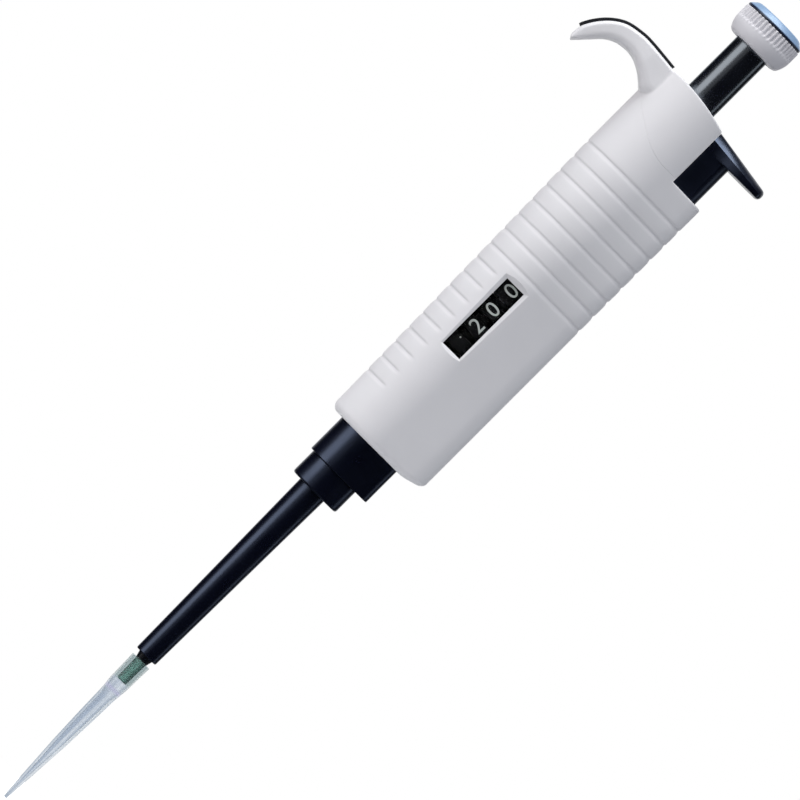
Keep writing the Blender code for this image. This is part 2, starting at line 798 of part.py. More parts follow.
def tip():
    collar_z = TIP_LENGTH - TIP_COLLAR_LENGTH
    neck_z = 0.74 * TIP_LENGTH
    outer = [
        (TIP_RIM_R, TIP_LENGTH), (TIP_COLLAR_R, TIP_LENGTH - CONE_IN_TIP),
        (0.97 * TIP_COLLAR_R, collar_z), (TIP_NECK_R, neck_z),
        (0.92 * TIP_NECK_R, 0.6 * TIP_LENGTH), (0.76 * TIP_NECK_R, 0.4 * TIP_LENGTH),
        (0.5 * TIP_NECK_R, 0.2 * TIP_LENGTH), (TIP_ORIFICE_R, 0.0),
    ]
    orifice = 0.55 * TIP_ORIFICE_R
    inner = [(orifice, 0.0)]
    for r, z in reversed(outer[:-1]):
        inner.append((max(r - TIP_WALL, orifice), z))
    return turned("tip", outer + inner, "tip_plastic", SMALL_ROUND)


def tip_cone():
    low = TIP_LENGTH - CONE_IN_TIP
    thread_low = Z_SOCKET - GAP
    top = Z_SOCKET + CONE_THREAD_LENGTH
    chamber = Z_SEAL - STROKE - BLOWOUT - 3 * GAP
    outer = [
        (CONE_THREAD_R, top), (CONE_THREAD_R, thread_low), (CONE_BARREL_R, thread_low),
        (CONE_BARREL_R, Z_CONE_SHOULDER), (CONE_STEM_TOP_R, Z_CONE_SHOULDER),
        (CONE_STEM_TOP_R, Z_NARROW), (CONE_STEM_R, TIP_LENGTH + TIP_RIM_GAP),
        (CONE_TIP_R, TIP_LENGTH), (CONE_END_R, low + GAP), (0.7 * CONE_END_R, low),
    ]
    bore = [
        (AIR_BORE_R, low), (AIR_BORE_TOP_R, chamber - 2 * GAP), (BORE_R, chamber),
        (BORE_R, Z_SEAL), (SEAL_R + GAP, Z_SEAL), (SEAL_R + GAP, Z_RETAINER_STEP),
        (SPRING_BORE_R, Z_RETAINER_STEP), (SPRING_BORE_R, top),
    ]
    return turned("tip_cone", outer + bore, "dark_plastic", WHEEL_ROUND)


def piston_seal():
    low = Z_SEAL + GAP
    high = low + SEAL_HEIGHT
    profile = [(SEAL_R, high), (SEAL_R, low), (BORE_R, low), (BORE_R, high)]
    return turned("piston_seal", profile, "white_plastic", SMALL_ROUND)


def ring_section(centre_r, centre_z, radius, count=6):
    """A round section, clockwise from its outside so that it faces out when turned."""
    points = []
    for i in range(count):
        angle = -2 * math.pi * i / count
        points.append((centre_r + radius * math.cos(angle), centre_z + radius * math.sin(angle)))
    return points


def piston_o_ring():
    section = ring_section(BORE_R + O_RING_R, Z_O_RING, O_RING_R)
    return turned("piston_o_ring", section, "rubber", SMALL_ROUND)


def seal_retainer():
    low = Z_RETAINER_STEP + GAP
    foot = Z_O_RING + O_RING_R + GAP
    high = low + RETAINER_HEIGHT
    profile = [(HEAD_R, high), (HEAD_R, low), (SEAL_R, low), (SEAL_R, foot), (BORE_R, foot)]
    profile.append((BORE_R, high))
    return turned("seal_retainer", profile, "brass", SMALL_ROUND)


# Plunger train

def blowout_spring():
    mean = HEAD_R - BLOWOUT_WIRE / 2
    return coil(
        "blowout_spring", mean, BLOWOUT_WIRE, Z_BLOWOUT_SPRING, BLOWOUT_SPRING_LENGTH, BLOWOUT_TURNS
    )


def stop_cup():
    """The first stop: the piston's head meets its rim, then pushes it down to blow out."""
    inner = HEAD_R - CUP_WALL
    floor = Z_CUP + CUP_FLOOR
    profile = [
        (HEAD_R, Z_CUP_RIM), (HEAD_R, Z_CUP), (BORE_R, Z_CUP), (BORE_R, floor),
        (inner, floor), (inner, Z_CUP_RIM),
    ]
    return turned("stop_cup", profile, "brass", SMALL_ROUND)


def main_spring():
    mean = HEAD_R - CUP_WALL - GAP - MAIN_WIRE / 2
    return coil("main_spring", mean, MAIN_WIRE, Z_MAIN_SPRING, MAIN_SPRING_LENGTH, MAIN_TURNS)


def piston():
    low = Z_SEAL - GAP
    top = Z_HEAD + PISTON_HEAD
    profile = [
        (0.0, top), (HEAD_R, top), (HEAD_R, Z_HEAD), (PISTON_R, Z_HEAD),
        (PISTON_R, low + PISTON_CHAMFER), (PISTON_R - PISTON_CHAMFER, low), (0.0, low),
    ]
    return turned("piston", profile, "steel", SMALL_ROUND)


def spindle():
    top = Z_KNOB + KNOB_BAND + GAP
    bar = rod("spindle", SPINDLE_R, Z_SPINDLE, top, finish="steel", steps=SMALL_ROUND)
    hole = rod("cut_pin_hole", PIN_R + GAP, -2 * SPINDLE_R, 2 * SPINDLE_R, steps=12)
    lay_along_x(hole, Z_PIN)
    cut(bar, hole)
    return bar


def lay_along_x(obj, z):
    """Turns a round bar from Z to X and lifts it."""
    obj.data.transform(Matrix.Translation((0.0, 0.0, z)) @ Matrix.Rotation(math.pi / 2, 4, "Y"))


def stop_pin():
    pin = rod("stop_pin", PIN_R, -PIN_HALF_LENGTH, PIN_HALF_LENGTH, finish="steel", steps=12)
    lay_along_x(pin, Z_PIN)
    return pin


def plunger_sleeve():
    low = Z_TOP - PLUNGER_HIDDEN
    top = Z_KNOB + 0.5 * KNOB_BAND
    inner = PLUNGER_R - PLUNGER_WALL
    profile = [(PLUNGER_R, top), (PLUNGER_R, low), (inner, low), (inner, top)]
    return turned("plunger_sleeve", profile, "black_plastic")


# Knob

def fluted(radius, depth):
    points = []
    for i in range(2 * FLUTES):
        r = radius - depth * (i % 2)
        angle = math.pi * i / FLUTES
        points.append((r * math.cos(angle), r * math.sin(angle)))
    return points


def knob():
    """A smooth foot and a fluted band, bored for the plunger, the spindle and the cap."""
    band = Z_KNOB + KNOB_BAND
    profile = [
        (0.0, band), (KNOB_R, band), (KNOB_R, Z_KNOB + 0.70 * KNOB_BAND),
        (0.93 * KNOB_R, Z_KNOB + 0.30 * KNOB_BAND), (KNOB_FOOT_R, Z_KNOB), (0.0, Z_KNOB),
    ]
    body = turned("knob", profile, "grey_plastic")
    flutes = prism("add_flutes", fluted(FLUTED_R, FLUTE_DEPTH), band - GAP, Z_KNOB_TOP)
    z_recess = Z_KNOB + 0.5 * KNOB_BAND + GAP
    below = rod("cut_knob_below", PLUNGER_FIT_R, Z_KNOB - OVERSHOOT, z_recess, steps=ROUND)
    through = rod("cut_knob_bore", SPINDLE_FIT_R, Z_KNOB, Z_KNOB_TOP, steps=SMALL_ROUND)
    above = rod(
        "cut_knob_above", KNOB_SPIGOT_R + GAP, band + 2 * GAP, Z_KNOB_TOP + OVERSHOOT, steps=ROUND
    )
    join(body, flutes)
    cut(body, below, through, above)
    return body


def knob_cap():
    low = Z_KNOB_TOP + GAP
    top = Z_KNOB_TOP + KNOB_CAP_HEIGHT
    foot = Z_KNOB + KNOB_BAND + 3 * GAP
    profile = [
        (0.0, top), (KNOB_CAP_TOP_R, top), (KNOB_CAP_R, low + KNOB_CAP_EDGE),
        (KNOB_CAP_R, low),
        (KNOB_SPIGOT_R, low), (KNOB_SPIGOT_R, foot), (0.0, foot),
    ]
    return turned("knob_cap", profile, "blue_plastic")


# Volume drive and counter

def drive_sleeve():
    """Turns with the knob through the stop pin, and carries the units wheel and the nut."""
    neck_top = Z_PLATE - GAP
    top = Z_TOP_PLATE + TOP_PLATE / 2
    low = Z_WHEELS + 3 * WHEEL_PITCH + GAP
    profile = [
        (DRIVE_R, top), (DRIVE_R, neck_top), (HUB_R, neck_top), (HUB_R, low),
        (SPINDLE_FIT_R, low), (SPINDLE_FIT_R, top),
    ]
    sleeve = turned("drive_sleeve", profile, "brass", SMALL_ROUND)
    w = PIN_R + GAP
    slot = box(
        "cut_pin_slot",
        (-2 * DRIVE_R, -w, Z_PIN - STROKE - BLOWOUT - w),
        (2 * DRIVE_R, w, Z_PIN + w),
    )
    cut(sleeve, slot)
    return sleeve


def volume_nut():
    top = Z_NUT + NUT_HEIGHT
    profile = [(NUT_R, top), (NUT_R, Z_NUT), (DRIVE_FIT_R, Z_NUT), (DRIVE_FIT_R, top)]
    nut = turned("volume_nut", profile, "white_plastic", SMALL_ROUND)
    reach = -shell_radius(Z_NUT - NUT_TRAVEL) + SHELL_WALL + 2 * GAP
    tab = box(
        "add_nut_tab",
        (reach, -NUT_TAB / 2, Z_NUT),
        (-DRIVE_FIT_R - 2 * GAP, NUT_TAB / 2, top),
    )
    join(nut, tab)
    return nut


def fitted_plate(name, low, high, finish):
    """A bulkhead that fills the shell with a gap all round."""
    rings = [[(x, y, z) for x, y in shell_outline(low, SHELL_WALL + GAP)] for z in (low, high)]
    return loft(name, rings, finish)


def nose_socket():
    """The bulkhead that the cone screws into, with a slot for the ejector rod."""
    plate = fitted_plate("nose_socket", Z_SOCKET, Z_SOCKET_TOP, "white_plastic")
    bore = rod(
        "cut_socket_bore", CONE_THREAD_R + GAP, Z_SOCKET - OVERSHOOT, Z_SOCKET_TOP + OVERSHOOT,
        steps=ROUND,
    )
    w = ROD_R + GAP
    slot = box(
        "cut_rod_slot",
        (ROD_LOW_X - w, -w, Z_SOCKET - OVERSHOOT),
        (ROD_HIGH_X + w, w, Z_SOCKET_TOP + OVERSHOOT),
    )
    cut(plate, bore, slot)
    return plate


def counter_frame():
    """Stands on the nose socket, roofs the piston's head and carries the number wheels."""
    low = Z_SOCKET_TOP + GAP
    roof = Z_WHEELS - GAP
    shelf = roof - HUB_SHELF
    hub_top = Z_WHEELS + 3 * WHEEL_PITCH - GAP
    inner = HEAD_R + 2 * GAP
    profile = [
        (HUB_R, hub_top), (HUB_R, roof), (WHEEL_R, roof), (WHEEL_R, shelf),
        (FRAME_R, shelf), (FRAME_R, low), (inner, low), (inner, shelf),
        (SPINDLE_FIT_R, shelf), (SPINDLE_FIT_R, hub_top),
    ]
    frame = turned("counter_frame", profile, "white_plastic")
    lug = rod("add_pinion_lug", 3 * PINION_SHAFT_R, shelf, roof, (PINION_X, PINION_Y), steps=12)
    join(frame, lug)
    return frame


def middle_plate():
    """Closes the counter, steadies the drive sleeve and is the ejector spring's seat."""
    plate = fitted_plate("middle_plate", Z_PLATE, Z_PLATE_TOP, "white_plastic")
    low = Z_PLATE - OVERSHOOT
    high = Z_PLATE_TOP + OVERSHOOT
    bore = rod("cut_plate_bore", DRIVE_FIT_R, low, high, steps=SMALL_ROUND)
    rod_hole = rod("cut_plate_rod", ROD_R + GAP, low, high, (ROD_HIGH_X, 0.0), steps=12)
    cut(plate, bore, rod_hole)
    return plate


def upper_bearing():
    """Holds the drive sleeve's top end down and round."""
    outline = clipped_round(BIG_R_TOP - SHELL_WALL - GAP, CUT_BACK_X - SHELL_WALL)
    high = Z_TOP_PLATE + TOP_PLATE
    plate = prism("upper_bearing", outline, Z_TOP_PLATE, high, "white_plastic")
    seat = rod(
        "cut_bearing_seat", DRIVE_FIT_R, Z_TOP_PLATE - OVERSHOOT,
        Z_TOP_PLATE + TOP_PLATE / 2 + GAP, steps=24,
    )
    hole = rod("cut_bearing_hole", SPINDLE_FIT_R, Z_TOP_PLATE, high + OVERSHOOT, steps=SMALL_ROUND)
    cut(plate, seat, hole)
    return plate


def friction_ring():
    radius = RING_ROOM / 2 - GAP
    section = ring_section(DRIVE_FIT_R + radius, Z_TOP_PLATE - GAP - radius, radius)
    return turned("friction_ring", section, "rubber", SMALL_ROUND)


def wheel(name, index, geared):
    """A number wheel: rim, web and hub, with the carry gear on top where a pinion drives it."""
    low = Z_WHEELS + index * WHEEL_PITCH + GAP
    rim_top = low + WHEEL_RIM_WIDTH
    hub_top = Z_WHEELS + (index + 1) * WHEEL_PITCH - GAP
    hub_r = WHEEL_BORE_R + WHEEL_WEB
    inner = WHEEL_R - WHEEL_RIM_WALL
    profile = [
        (WHEEL_R, rim_top), (WHEEL_R, low), (inner, low), (inner, rim_top - WHEEL_WEB),
        (hub_r, rim_top - WHEEL_WEB), (hub_r, low), (WHEEL_BORE_R, low),
        (WHEEL_BORE_R, hub_top), (hub_r, hub_top), (hub_r, rim_top),
    ]
    made = turned(name, profile, "black_plastic", WHEEL_ROUND)
    if geared:
        gear = prism(
            f"add_gear_{name}", gear_outline(GEAR_TEETH, 0.27, 0.13), rim_top - GAP, hub_top - GAP
        )
        in_hub = WHEEL_BORE_R + WHEEL_WEB / 2
        bore = rod(f"cut_gear_{name}", in_hub, low, hub_top + OVERSHOOT, steps=WHEEL_ROUND)
        cut(gear, bore)
        join(made, gear)
    return made


def pinion(name, index):
    """Meshes with the gear on top of the wheel of that index."""
    wheel_low = Z_WHEELS + index * WHEEL_PITCH + GAP
    low = wheel_low + WHEEL_RIM_WIDTH + GAP
    half_tooth = math.pi / PINION_TEETH
    gear_phase = PINION_ANGLE / (2 * math.pi / GEAR_TEETH) % 1.0
    turn = PINION_ANGLE + math.pi + half_tooth + gear_phase * 2 * half_tooth
    outline = []
    for x, y in gear_outline(PINION_TEETH, 0.24, 0.11):
        spun_x = x * math.cos(turn) - y * math.sin(turn)
        spun_y = x * math.sin(turn) + y * math.cos(turn)
        outline.append((PINION_X + spun_x, PINION_Y + spun_y))
    made = prism(name, outline, low, low + PINION_WIDTH, "brass")
    bore = rod(
        f"cut_{name}", PINION_SHAFT_R + GAP, low - OVERSHOOT, low + PINION_WIDTH + OVERSHOOT,
        (PINION_X, PINION_Y), steps=10,
    )
    cut(made, bore)
    move_origin(made, PINION_X, PINION_Y)
    return made


def pinion_shaft():
    return rod(
        "pinion_shaft", PINION_SHAFT_R, Z_WHEELS, Z_PLATE - GAP, (PINION_X, PINION_Y), "steel", 10
    )


# Ejector

def ejector_sleeve():
    """The tapered tube that pushes the tip off, with its collar and the spigot above."""
    cavity = Z_NARROW + NARROW_FLOOR
    spigot_top = Z_WIDE - GAP + SPIGOT_LENGTH
    collar_top = Z_NARROW + NARROW_HEIGHT
    outside = [
        (0.0, spigot_top), (SPIGOT_R, spigot_top), (SPIGOT_R, cavity), (SLEEVE_TOP_R, cavity),
        (SLEEVE_TOP_R, Z_NARROW), (SLEEVE_END_R, Z_SLEEVE + SLEEVE_CHAMFER),
        (SLEEVE_END_R - 0.7 * SLEEVE_CHAMFER, Z_SLEEVE), (0.0, Z_SLEEVE),
    ]
    sleeve = turned("ejector_sleeve", outside, "black_plastic")
    rings = []
    chamfer = COLLAR_CHAMFER
    for z, inset in ((Z_NARROW, chamfer), (Z_NARROW + chamfer, 0.0), (collar_top, 0.0)):
        outline = egg(NARROW_R, NARROW_SMALL_R, NARROW_REACH, inset)
        rings.append([(x, y, z) for x, y in outline])
    collar = loft("add_narrow_collar", rings)
    bore = turned("cut_sleeve_bore", [
        (0.0, spigot_top + OVERSHOOT), (BARREL_FIT_R, spigot_top + OVERSHOOT),
        (BARREL_FIT_R, cavity), (SLEEVE_BORE_TOP_R, cavity), (SLEEVE_BORE_TOP_R, Z_NARROW),
        (SLEEVE_BORE_R, Z_SLEEVE), (SLEEVE_BORE_R, Z_SLEEVE - OVERSHOOT),
        (0.0, Z_SLEEVE - OVERSHOOT),
    ])
    join(sleeve, collar)
    cut(sleeve, bore)
    return sleeve


def ejector_collar():
    """Joins the sleeve to the rod, whose socket is in the lobe."""
    rings = []
    chamfer = COLLAR_CHAMFER
    for z, inset in ((Z_WIDE, chamfer), (Z_WIDE + chamfer, 0.0), (Z_COLLAR_TOP, 0.0)):
        outline = egg(WIDE_R, WIDE_SMALL_R, WIDE_REACH, inset)
        rings.append([(x, y, z) for x, y in outline])
    collar = loft("ejector_collar", rings, "black_plastic")
    counter = rod(
        "cut_collar_seat", SPIGOT_R + GAP, Z_WIDE - OVERSHOOT,
        Z_WIDE - GAP + SPIGOT_LENGTH + GAP, steps=ROUND,
    )
    bore = rod(
        "cut_collar_bore", BARREL_FIT_R, Z_WIDE - OVERSHOOT, Z_COLLAR_TOP + OVERSHOOT, steps=ROUND
    )
    socket = rod(
        "cut_rod_socket", ROD_R + GAP, Z_COLLAR_TOP - 2 * ROD_SOCKET, Z_COLLAR_TOP + OVERSHOOT,
        (ROD_LOW_X, 0.0), steps=12,
    )
    cut(collar, counter, bore, socket)
    return collar


def ejector_rod():
    """Steel wire with a jog, from the collar's socket to the button's."""
    jog_low = Z_SOCKET_TOP + 2 * GAP + 0.3 * EJECT_STROKE
    jog_high = Z_WHEELS - 2 * ROD_R
    points = [(ROD_LOW_X, 0.0, Z_COLLAR_TOP - 2 * ROD_SOCKET + GAP)]
    for i in range(7):
        share = i / 6
        ease = share * share * (3 - 2 * share)
        x = ROD_LOW_X + (ROD_HIGH_X - ROD_LOW_X) * ease
        points.append((x, 0.0, jog_low + (jog_high - jog_low) * share))
    points.append((ROD_HIGH_X, 0.0, Z_SHANK + ROD_SOCKET))
    return wire("ejector_rod", points, ROD_R, "steel", 2)


def button_ring(x, half_width, drop, ease=BUTTON_EASE):
    top = Z_SHOULDER + BUTTON_TOP - drop
    low = Z_SHOULDER + BUTTON_UNDER
    w = half_width
    corners = [
        (-w + ease, low), (w - ease, low), (w, low + ease), (w, top - ease),
        (w - ease, top), (-w + ease, top), (-w, top - ease), (-w, low + ease),
    ]
    return [(x, y, z) for y, z in corners]


def ejector_button():
    """The thumb button: a shank through the shoulder and an arm that slopes outwards."""
    left = CUT_BACK_X + GAP
    w = SHANK_HALF_WIDTH
    under = Z_SHOULDER + BUTTON_UNDER + 2 * OVERSHOOT
    shank = prism("ejector_button", shank_outline(), Z_SHANK, under, "black_plastic")
    tip_x = BUTTON_REACH
    wide = BUTTON_HALF_WIDTH
    arm = loft("add_arm", [
        button_ring(left, w, 0.0),
        button_ring(left + 0.3 * (tip_x - left), 0.9 * wide, 0.15 * BUTTON_TIP_DROP),
        button_ring(left + 0.6 * (tip_x - left), wide, 0.6 * BUTTON_TIP_DROP),
        button_ring(tip_x - 3 * BUTTON_EASE, 0.94 * wide, 0.9 * BUTTON_TIP_DROP),
        button_ring(tip_x - BUTTON_EASE, 0.78 * wide, BUTTON_TIP_DROP),
        button_ring(tip_x, 0.60 * wide, BUTTON_TIP_DROP + BUTTON_EASE),
    ])
    socket = rod(
        "cut_button_socket", ROD_R + GAP, Z_SHANK - OVERSHOOT, Z_SHANK + ROD_SOCKET + GAP,
        (ROD_HIGH_X, 0.0), steps=12,
    )
    join(shank, arm)
    cut(shank, socket)
    return shank


def ejector_spring():
    low = Z_PLATE_TOP + GAP
    length = Z_SHANK - GAP - low
    return coil(
        "ejector_spring", EJECTOR_SPRING_R, EJECTOR_WIRE, low, length, EJECTOR_TURNS,
        (ROD_HIGH_X, 0.0),
    )


def build():
    handle_shell()
    top_cap()
    hook_strip()
    window_lens()
    nose_socket()
    tip_cone()
    piston_seal()
    piston_o_ring()
    seal_retainer()
    counter_frame()
    middle_plate()
    upper_bearing()
    friction_ring()
    plunger_bush()
    blowout_spring()
    stop_cup()
    main_spring()
    piston()
    spindle()
    stop_pin()
    plunger_sleeve()
    knob()
    knob_cap()
    drive_sleeve()
    volume_nut()
    wheel("wheel_thousands", 0, True)
    wheel("wheel_hundreds", 1, True)
    wheel("wheel_tens", 2, True)
    wheel("wheel_units", 3, False)
    pinion("pinion_thousands", 0)
    pinion("pinion_hundreds", 1)
    pinion("pinion_tens", 2)
    pinion_shaft()
    ejector_spring()
    ejector_button()
    ejector_rod()
    ejector_collar()
    ejector_sleeve()
    tip()


build()
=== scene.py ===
"""Dresses the micropipette: smooth mouldings, printed wheels, the clear tip and their finishes.

Lengths are in metres. +Z runs up the plunger's axis from the tip's end, the finger hook points to
-X, the ejector button to +X, and the volume window looks to -Y.
"""

import math

import bmesh
import bpy
from mathutils import Matrix, Vector


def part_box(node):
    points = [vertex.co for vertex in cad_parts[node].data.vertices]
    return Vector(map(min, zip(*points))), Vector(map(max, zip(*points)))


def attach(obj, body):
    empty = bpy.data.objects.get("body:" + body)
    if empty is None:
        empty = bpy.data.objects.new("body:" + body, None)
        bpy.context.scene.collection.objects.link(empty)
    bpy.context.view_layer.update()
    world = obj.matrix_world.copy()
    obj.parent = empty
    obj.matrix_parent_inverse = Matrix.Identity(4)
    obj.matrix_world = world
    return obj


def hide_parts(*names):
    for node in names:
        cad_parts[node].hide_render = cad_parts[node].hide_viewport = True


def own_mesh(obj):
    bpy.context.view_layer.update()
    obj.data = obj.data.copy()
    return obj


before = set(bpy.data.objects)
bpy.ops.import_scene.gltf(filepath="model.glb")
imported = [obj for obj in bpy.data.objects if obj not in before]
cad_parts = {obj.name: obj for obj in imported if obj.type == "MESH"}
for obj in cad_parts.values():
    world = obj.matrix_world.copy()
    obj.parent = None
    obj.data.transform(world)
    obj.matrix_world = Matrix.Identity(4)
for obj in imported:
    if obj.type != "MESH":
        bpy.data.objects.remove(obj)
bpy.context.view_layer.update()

# Camera
# The window is seen square on through a long lens, and the camera leans, so that the pipette
# runs from the lower left corner of the frame to the upper right one.
VIEW_CENTRE = Vector((-0.00037, 0.0, 0.14546))
VIEW_WIDTH = 0.2078
LENS_MM = 420.0
SENSOR_MM = 36.0
SEES_TO = 20.0
LEAN = math.radians(45.0)


def placed(name, data):
    """An object of that data, put into the scene."""
    made = bpy.data.objects.new(name, data)
    bpy.context.scene.collection.objects.link(made)
    return made


camera_data = bpy.data.cameras.new("camera")
camera_data.lens = LENS_MM
camera_data.sensor_width = SENSOR_MM
camera_data.clip_end = SEES_TO
camera = placed("camera", camera_data)
across = Vector((math.cos(LEAN), 0.0, math.sin(LEAN)))
upward = Vector((-math.sin(LEAN), 0.0, math.cos(LEAN)))
backward = Vector((0.0, -1.0, 0.0))
turned = Matrix((across, upward, backward)).transposed().to_4x4()
stand_off = backward * (VIEW_WIDTH * LENS_MM / SENSOR_MM)
camera.matrix_world = Matrix.Translation(VIEW_CENTRE + stand_off) @ turned
bpy.context.scene.camera = camera
bpy.context.scene.view_settings.view_transform = "Standard"

# Studio
# A tall soft key on the hook's side with a wide, weak fringe, a soft lamp overhead, a slim strip
# behind the button's side for the plunger's second streak, and a white room that lights the rest.
WARM = (1.0, 0.965, 0.955)
LAMPS = (  # where each stands, its width and height, its watts and its colour
    ("key", (-0.83, -0.56, 0.12), 0.52, 1.10, 2.60, WARM),
    ("fringe", (-0.74, -0.67, 0.12), 1.20, 1.10, 0.65, WARM),
    ("overhead", (-0.22, -0.14, 1.0), 0.70, 0.70, 6.6, (0.95, 0.98, 1.0)),
    ("strip", (0.97, 0.20, 0.10), 0.16, 1.00, 0.32, (0.92, 0.96, 1.0)),
)
LAMPS_FAR = 0.80
ROOM_ABOVE = (0.510, 0.530, 0.575)
ROOM_BELOW = (0.300, 0.310, 0.340)
ROOM_SHADES = (-0.6, 0.4)  # the sines of the way up between which the one passes into the other
DIM_FRONT = 0.004  # what gloss sees of the room on the camera's side
BACKDROP_FROM = 0.75  # the bright backdrop begins at this sine of the way to +Y
BACKDROP_FULL = 0.98
WHITE = (1.0, 1.0, 1.0, 1.0)

for lamp_name, way, wide, tall, watts, colour in LAMPS:
    area = bpy.data.lights.new(lamp_name, "AREA")
    area.shape = "RECTANGLE"
    area.size = wide
    area.size_y = tall
    area.energy = watts
    area.color = colour
    stand = placed(lamp_name, area)
    towards = Vector(way).normalized()
    aim = towards.to_track_quat("Z", "Y").to_matrix().to_4x4()
    stand.matrix_world = Matrix.Translation(VIEW_CENTRE + towards * LAMPS_FAR) @ aim


def wire(tree, inputs, sockets):
    """Gives each input its value, or a link from another node's output."""
    for socket, value in sockets.items():
        if isinstance(value, bpy.types.NodeSocket):
            tree.links.new(value, inputs[socket])
        else:
            inputs[socket].default_value = value


def wired(tree, kind, sockets=None, **settings):
    """The outputs of a new node of that kind, once it is set and wired."""
    made = tree.nodes.new("ShaderNode" + kind)
    for setting, value in settings.items():
        setattr(made, setting, value)
    wire(tree, made.inputs, sockets or {})
    return made.outputs


def ranged(tree, value, low, high, to_low=0.0, to_high=1.0, easing="LINEAR"):
    """The value, brought from one range to another."""
    return wired(tree, "MapRange", {
        "Value": value, "From Min": low, "From Max": high, "To Min": to_low, "To Max": to_high,
    }, interpolation_type=easing)["Result"]


def mixed(tree, share, *colours):
    """Two colours mixed by a share. Each is red, green and blue, or another node's output."""
    first, second = (c if isinstance(c, bpy.types.NodeSocket) else (*c, 1.0) for c in colours)
    blend = {"Factor": share, "A": first, "B": second}
    return wired(tree, "Mix", blend, data_type="RGBA")["Result"]


def seen_by_camera(tree, rays):
    """One for what the camera sees, straight or through a clear piece, and zero for the rest."""
    kinds = {0: rays["Is Camera Ray"], 1: rays["Is Transmission Ray"]}
    return wired(tree, "Math", kinds, operation="MAXIMUM")[0]


room = bpy.data.worlds.new("room")
room.use_nodes = True
bpy.context.scene.world = room
tree = room.node_tree
tree.nodes.clear()
rays = wired(tree, "LightPath")
direction = wired(tree, "TexCoord")["Generated"]
split = wired(tree, "SeparateXYZ", {"Vector": direction})
backdrop = ranged(tree, split["Y"], BACKDROP_FROM, BACKDROP_FULL, DIM_FRONT, 1.0, "SMOOTHSTEP")
shade = mixed(tree, ranged(tree, split["Z"], *ROOM_SHADES), ROOM_BELOW, ROOM_ABOVE)
plain = wired(tree, "Background", {"Color": shade})[0]
mirrored = wired(tree, "Background", {"Color": WHITE, "Strength": backdrop})[0]
white = wired(tree, "Background", {"Color": WHITE})[0]
glossed = wired(tree, "MixShader", {0: rays["Is Glossy Ray"], 1: plain, 2: mirrored})[0]
whole = wired(tree, "MixShader", {0: seen_by_camera(tree, rays), 1: glossed, 2: white})[0]
wired(tree, "OutputWorld", {"Surface": whole})

# Floor
# A white sheet just under the tip's end. It keeps the shadow, and a glow of its own lifts what
# the camera sees of it to the white of the room. Gloss sees it dark, so that the blacks stay deep.
FLOOR_DROP = 0.003
FLOOR_HALF = 0.16
FLOOR_GLOW = 0.75
SHEET_WHITE = (0.86, 0.86, 0.86)
SHEET_IN_GLOSS = (0.04, 0.04, 0.04)


def new_paint(name):
    """A material, its node tree and its shader's inputs."""
    made = bpy.data.materials.new(name)
    made.use_nodes = True
    return made, made.node_tree, made.node_tree.nodes["Principled BSDF"].inputs


def mesh_of(bm, name):
    """The bmesh as a named mesh, and the bmesh freed."""
    mesh = bpy.data.meshes.new(name)
    bm.to_mesh(mesh)
    bm.free()
    return mesh


bm = bmesh.new()
bmesh.ops.create_grid(bm, x_segments=1, y_segments=1, size=FLOOR_HALF)
bmesh.ops.translate(bm, vec=(0.0, 0.0, -FLOOR_DROP), verts=bm.verts[:])
floor = placed("floor", mesh_of(bm, "floor"))
floor_paint, tree, shader = new_paint("floor")
rays = wired(tree, "LightPath")
glow = wired(tree, "Math", {0: seen_by_camera(tree, rays), 1: FLOOR_GLOW}, operation="MULTIPLY")[0]
wire(tree, shader, {
    "Base Color": mixed(tree, rays["Is Glossy Ray"], SHEET_WHITE, SHEET_IN_GLOSS),
    "Roughness": 0.9, "Emission Color": WHITE, "Emission Strength": glow,
})
floor.data.materials.append(floor_paint)

# Disposable tip
# Injection-moulded polypropylene, clear and a little milky, pushed onto the cone by hand. Its
# collar has fine lengthwise ribs, and a small step marks where the collar ends.
TIP_WALL = 0.00045
TIP_LOW_WALL = 1.6 * TIP_WALL
TIP_RIBS = 16
TIP_RIB_DEPTH = 0.00012
FINE_STEPS = 128
TIP_COLLAR_LOW = 0.0418
TIP_STEP_R = 0.00268  # where the small step under the collar ends
TIP_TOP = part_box("tip")[1][2]
TIP_OUTER = (
    (0.00300, TIP_TOP), (0.00293, 0.0478), (0.00277, TIP_COLLAR_LOW), (TIP_STEP_R, 0.0404),
    (0.00250, 0.0390), (0.00238, 0.0370), (0.00220, 0.0300), (0.00181, 0.0200), (0.00119, 0.0100),
    (0.00085, 0.0050), (0.00050, 0.0),
)
TIP_BORE_END = 0.00028
TIP_RING_Z = 0.0396  # a ring line inside, where the bore's seat ends
TIP_SEAT = 0.0385  # the wall is thicker below this
TIP_CLEARS = (0.0405, 0.0435)  # the plastic grows a little clearer between these heights
TIP_TINTS = (0.0424, 0.0430)  # and takes the collar's tint between these
MILK_SHADED = (0.53, 0.59, 0.68)
MILK_PALE = (0.81, 0.84, 0.87)
# the dark grey-blue that the tip's edges go over to: painted shade
TIP_EDGE_PAINTED_SHADE = (0.24, 0.31, 0.38)
TIP_RING_LINE = (0.66, 0.67, 0.78)
TIP_COLLAR_TINT = (0.57, 0.635, 0.645)
FLOW_LINES = (820.0, 820.0, 9.0)  # fine across the tip and long down it
MERGED_WITHIN = 0.000001
SHARP_DEGREES = 32.0


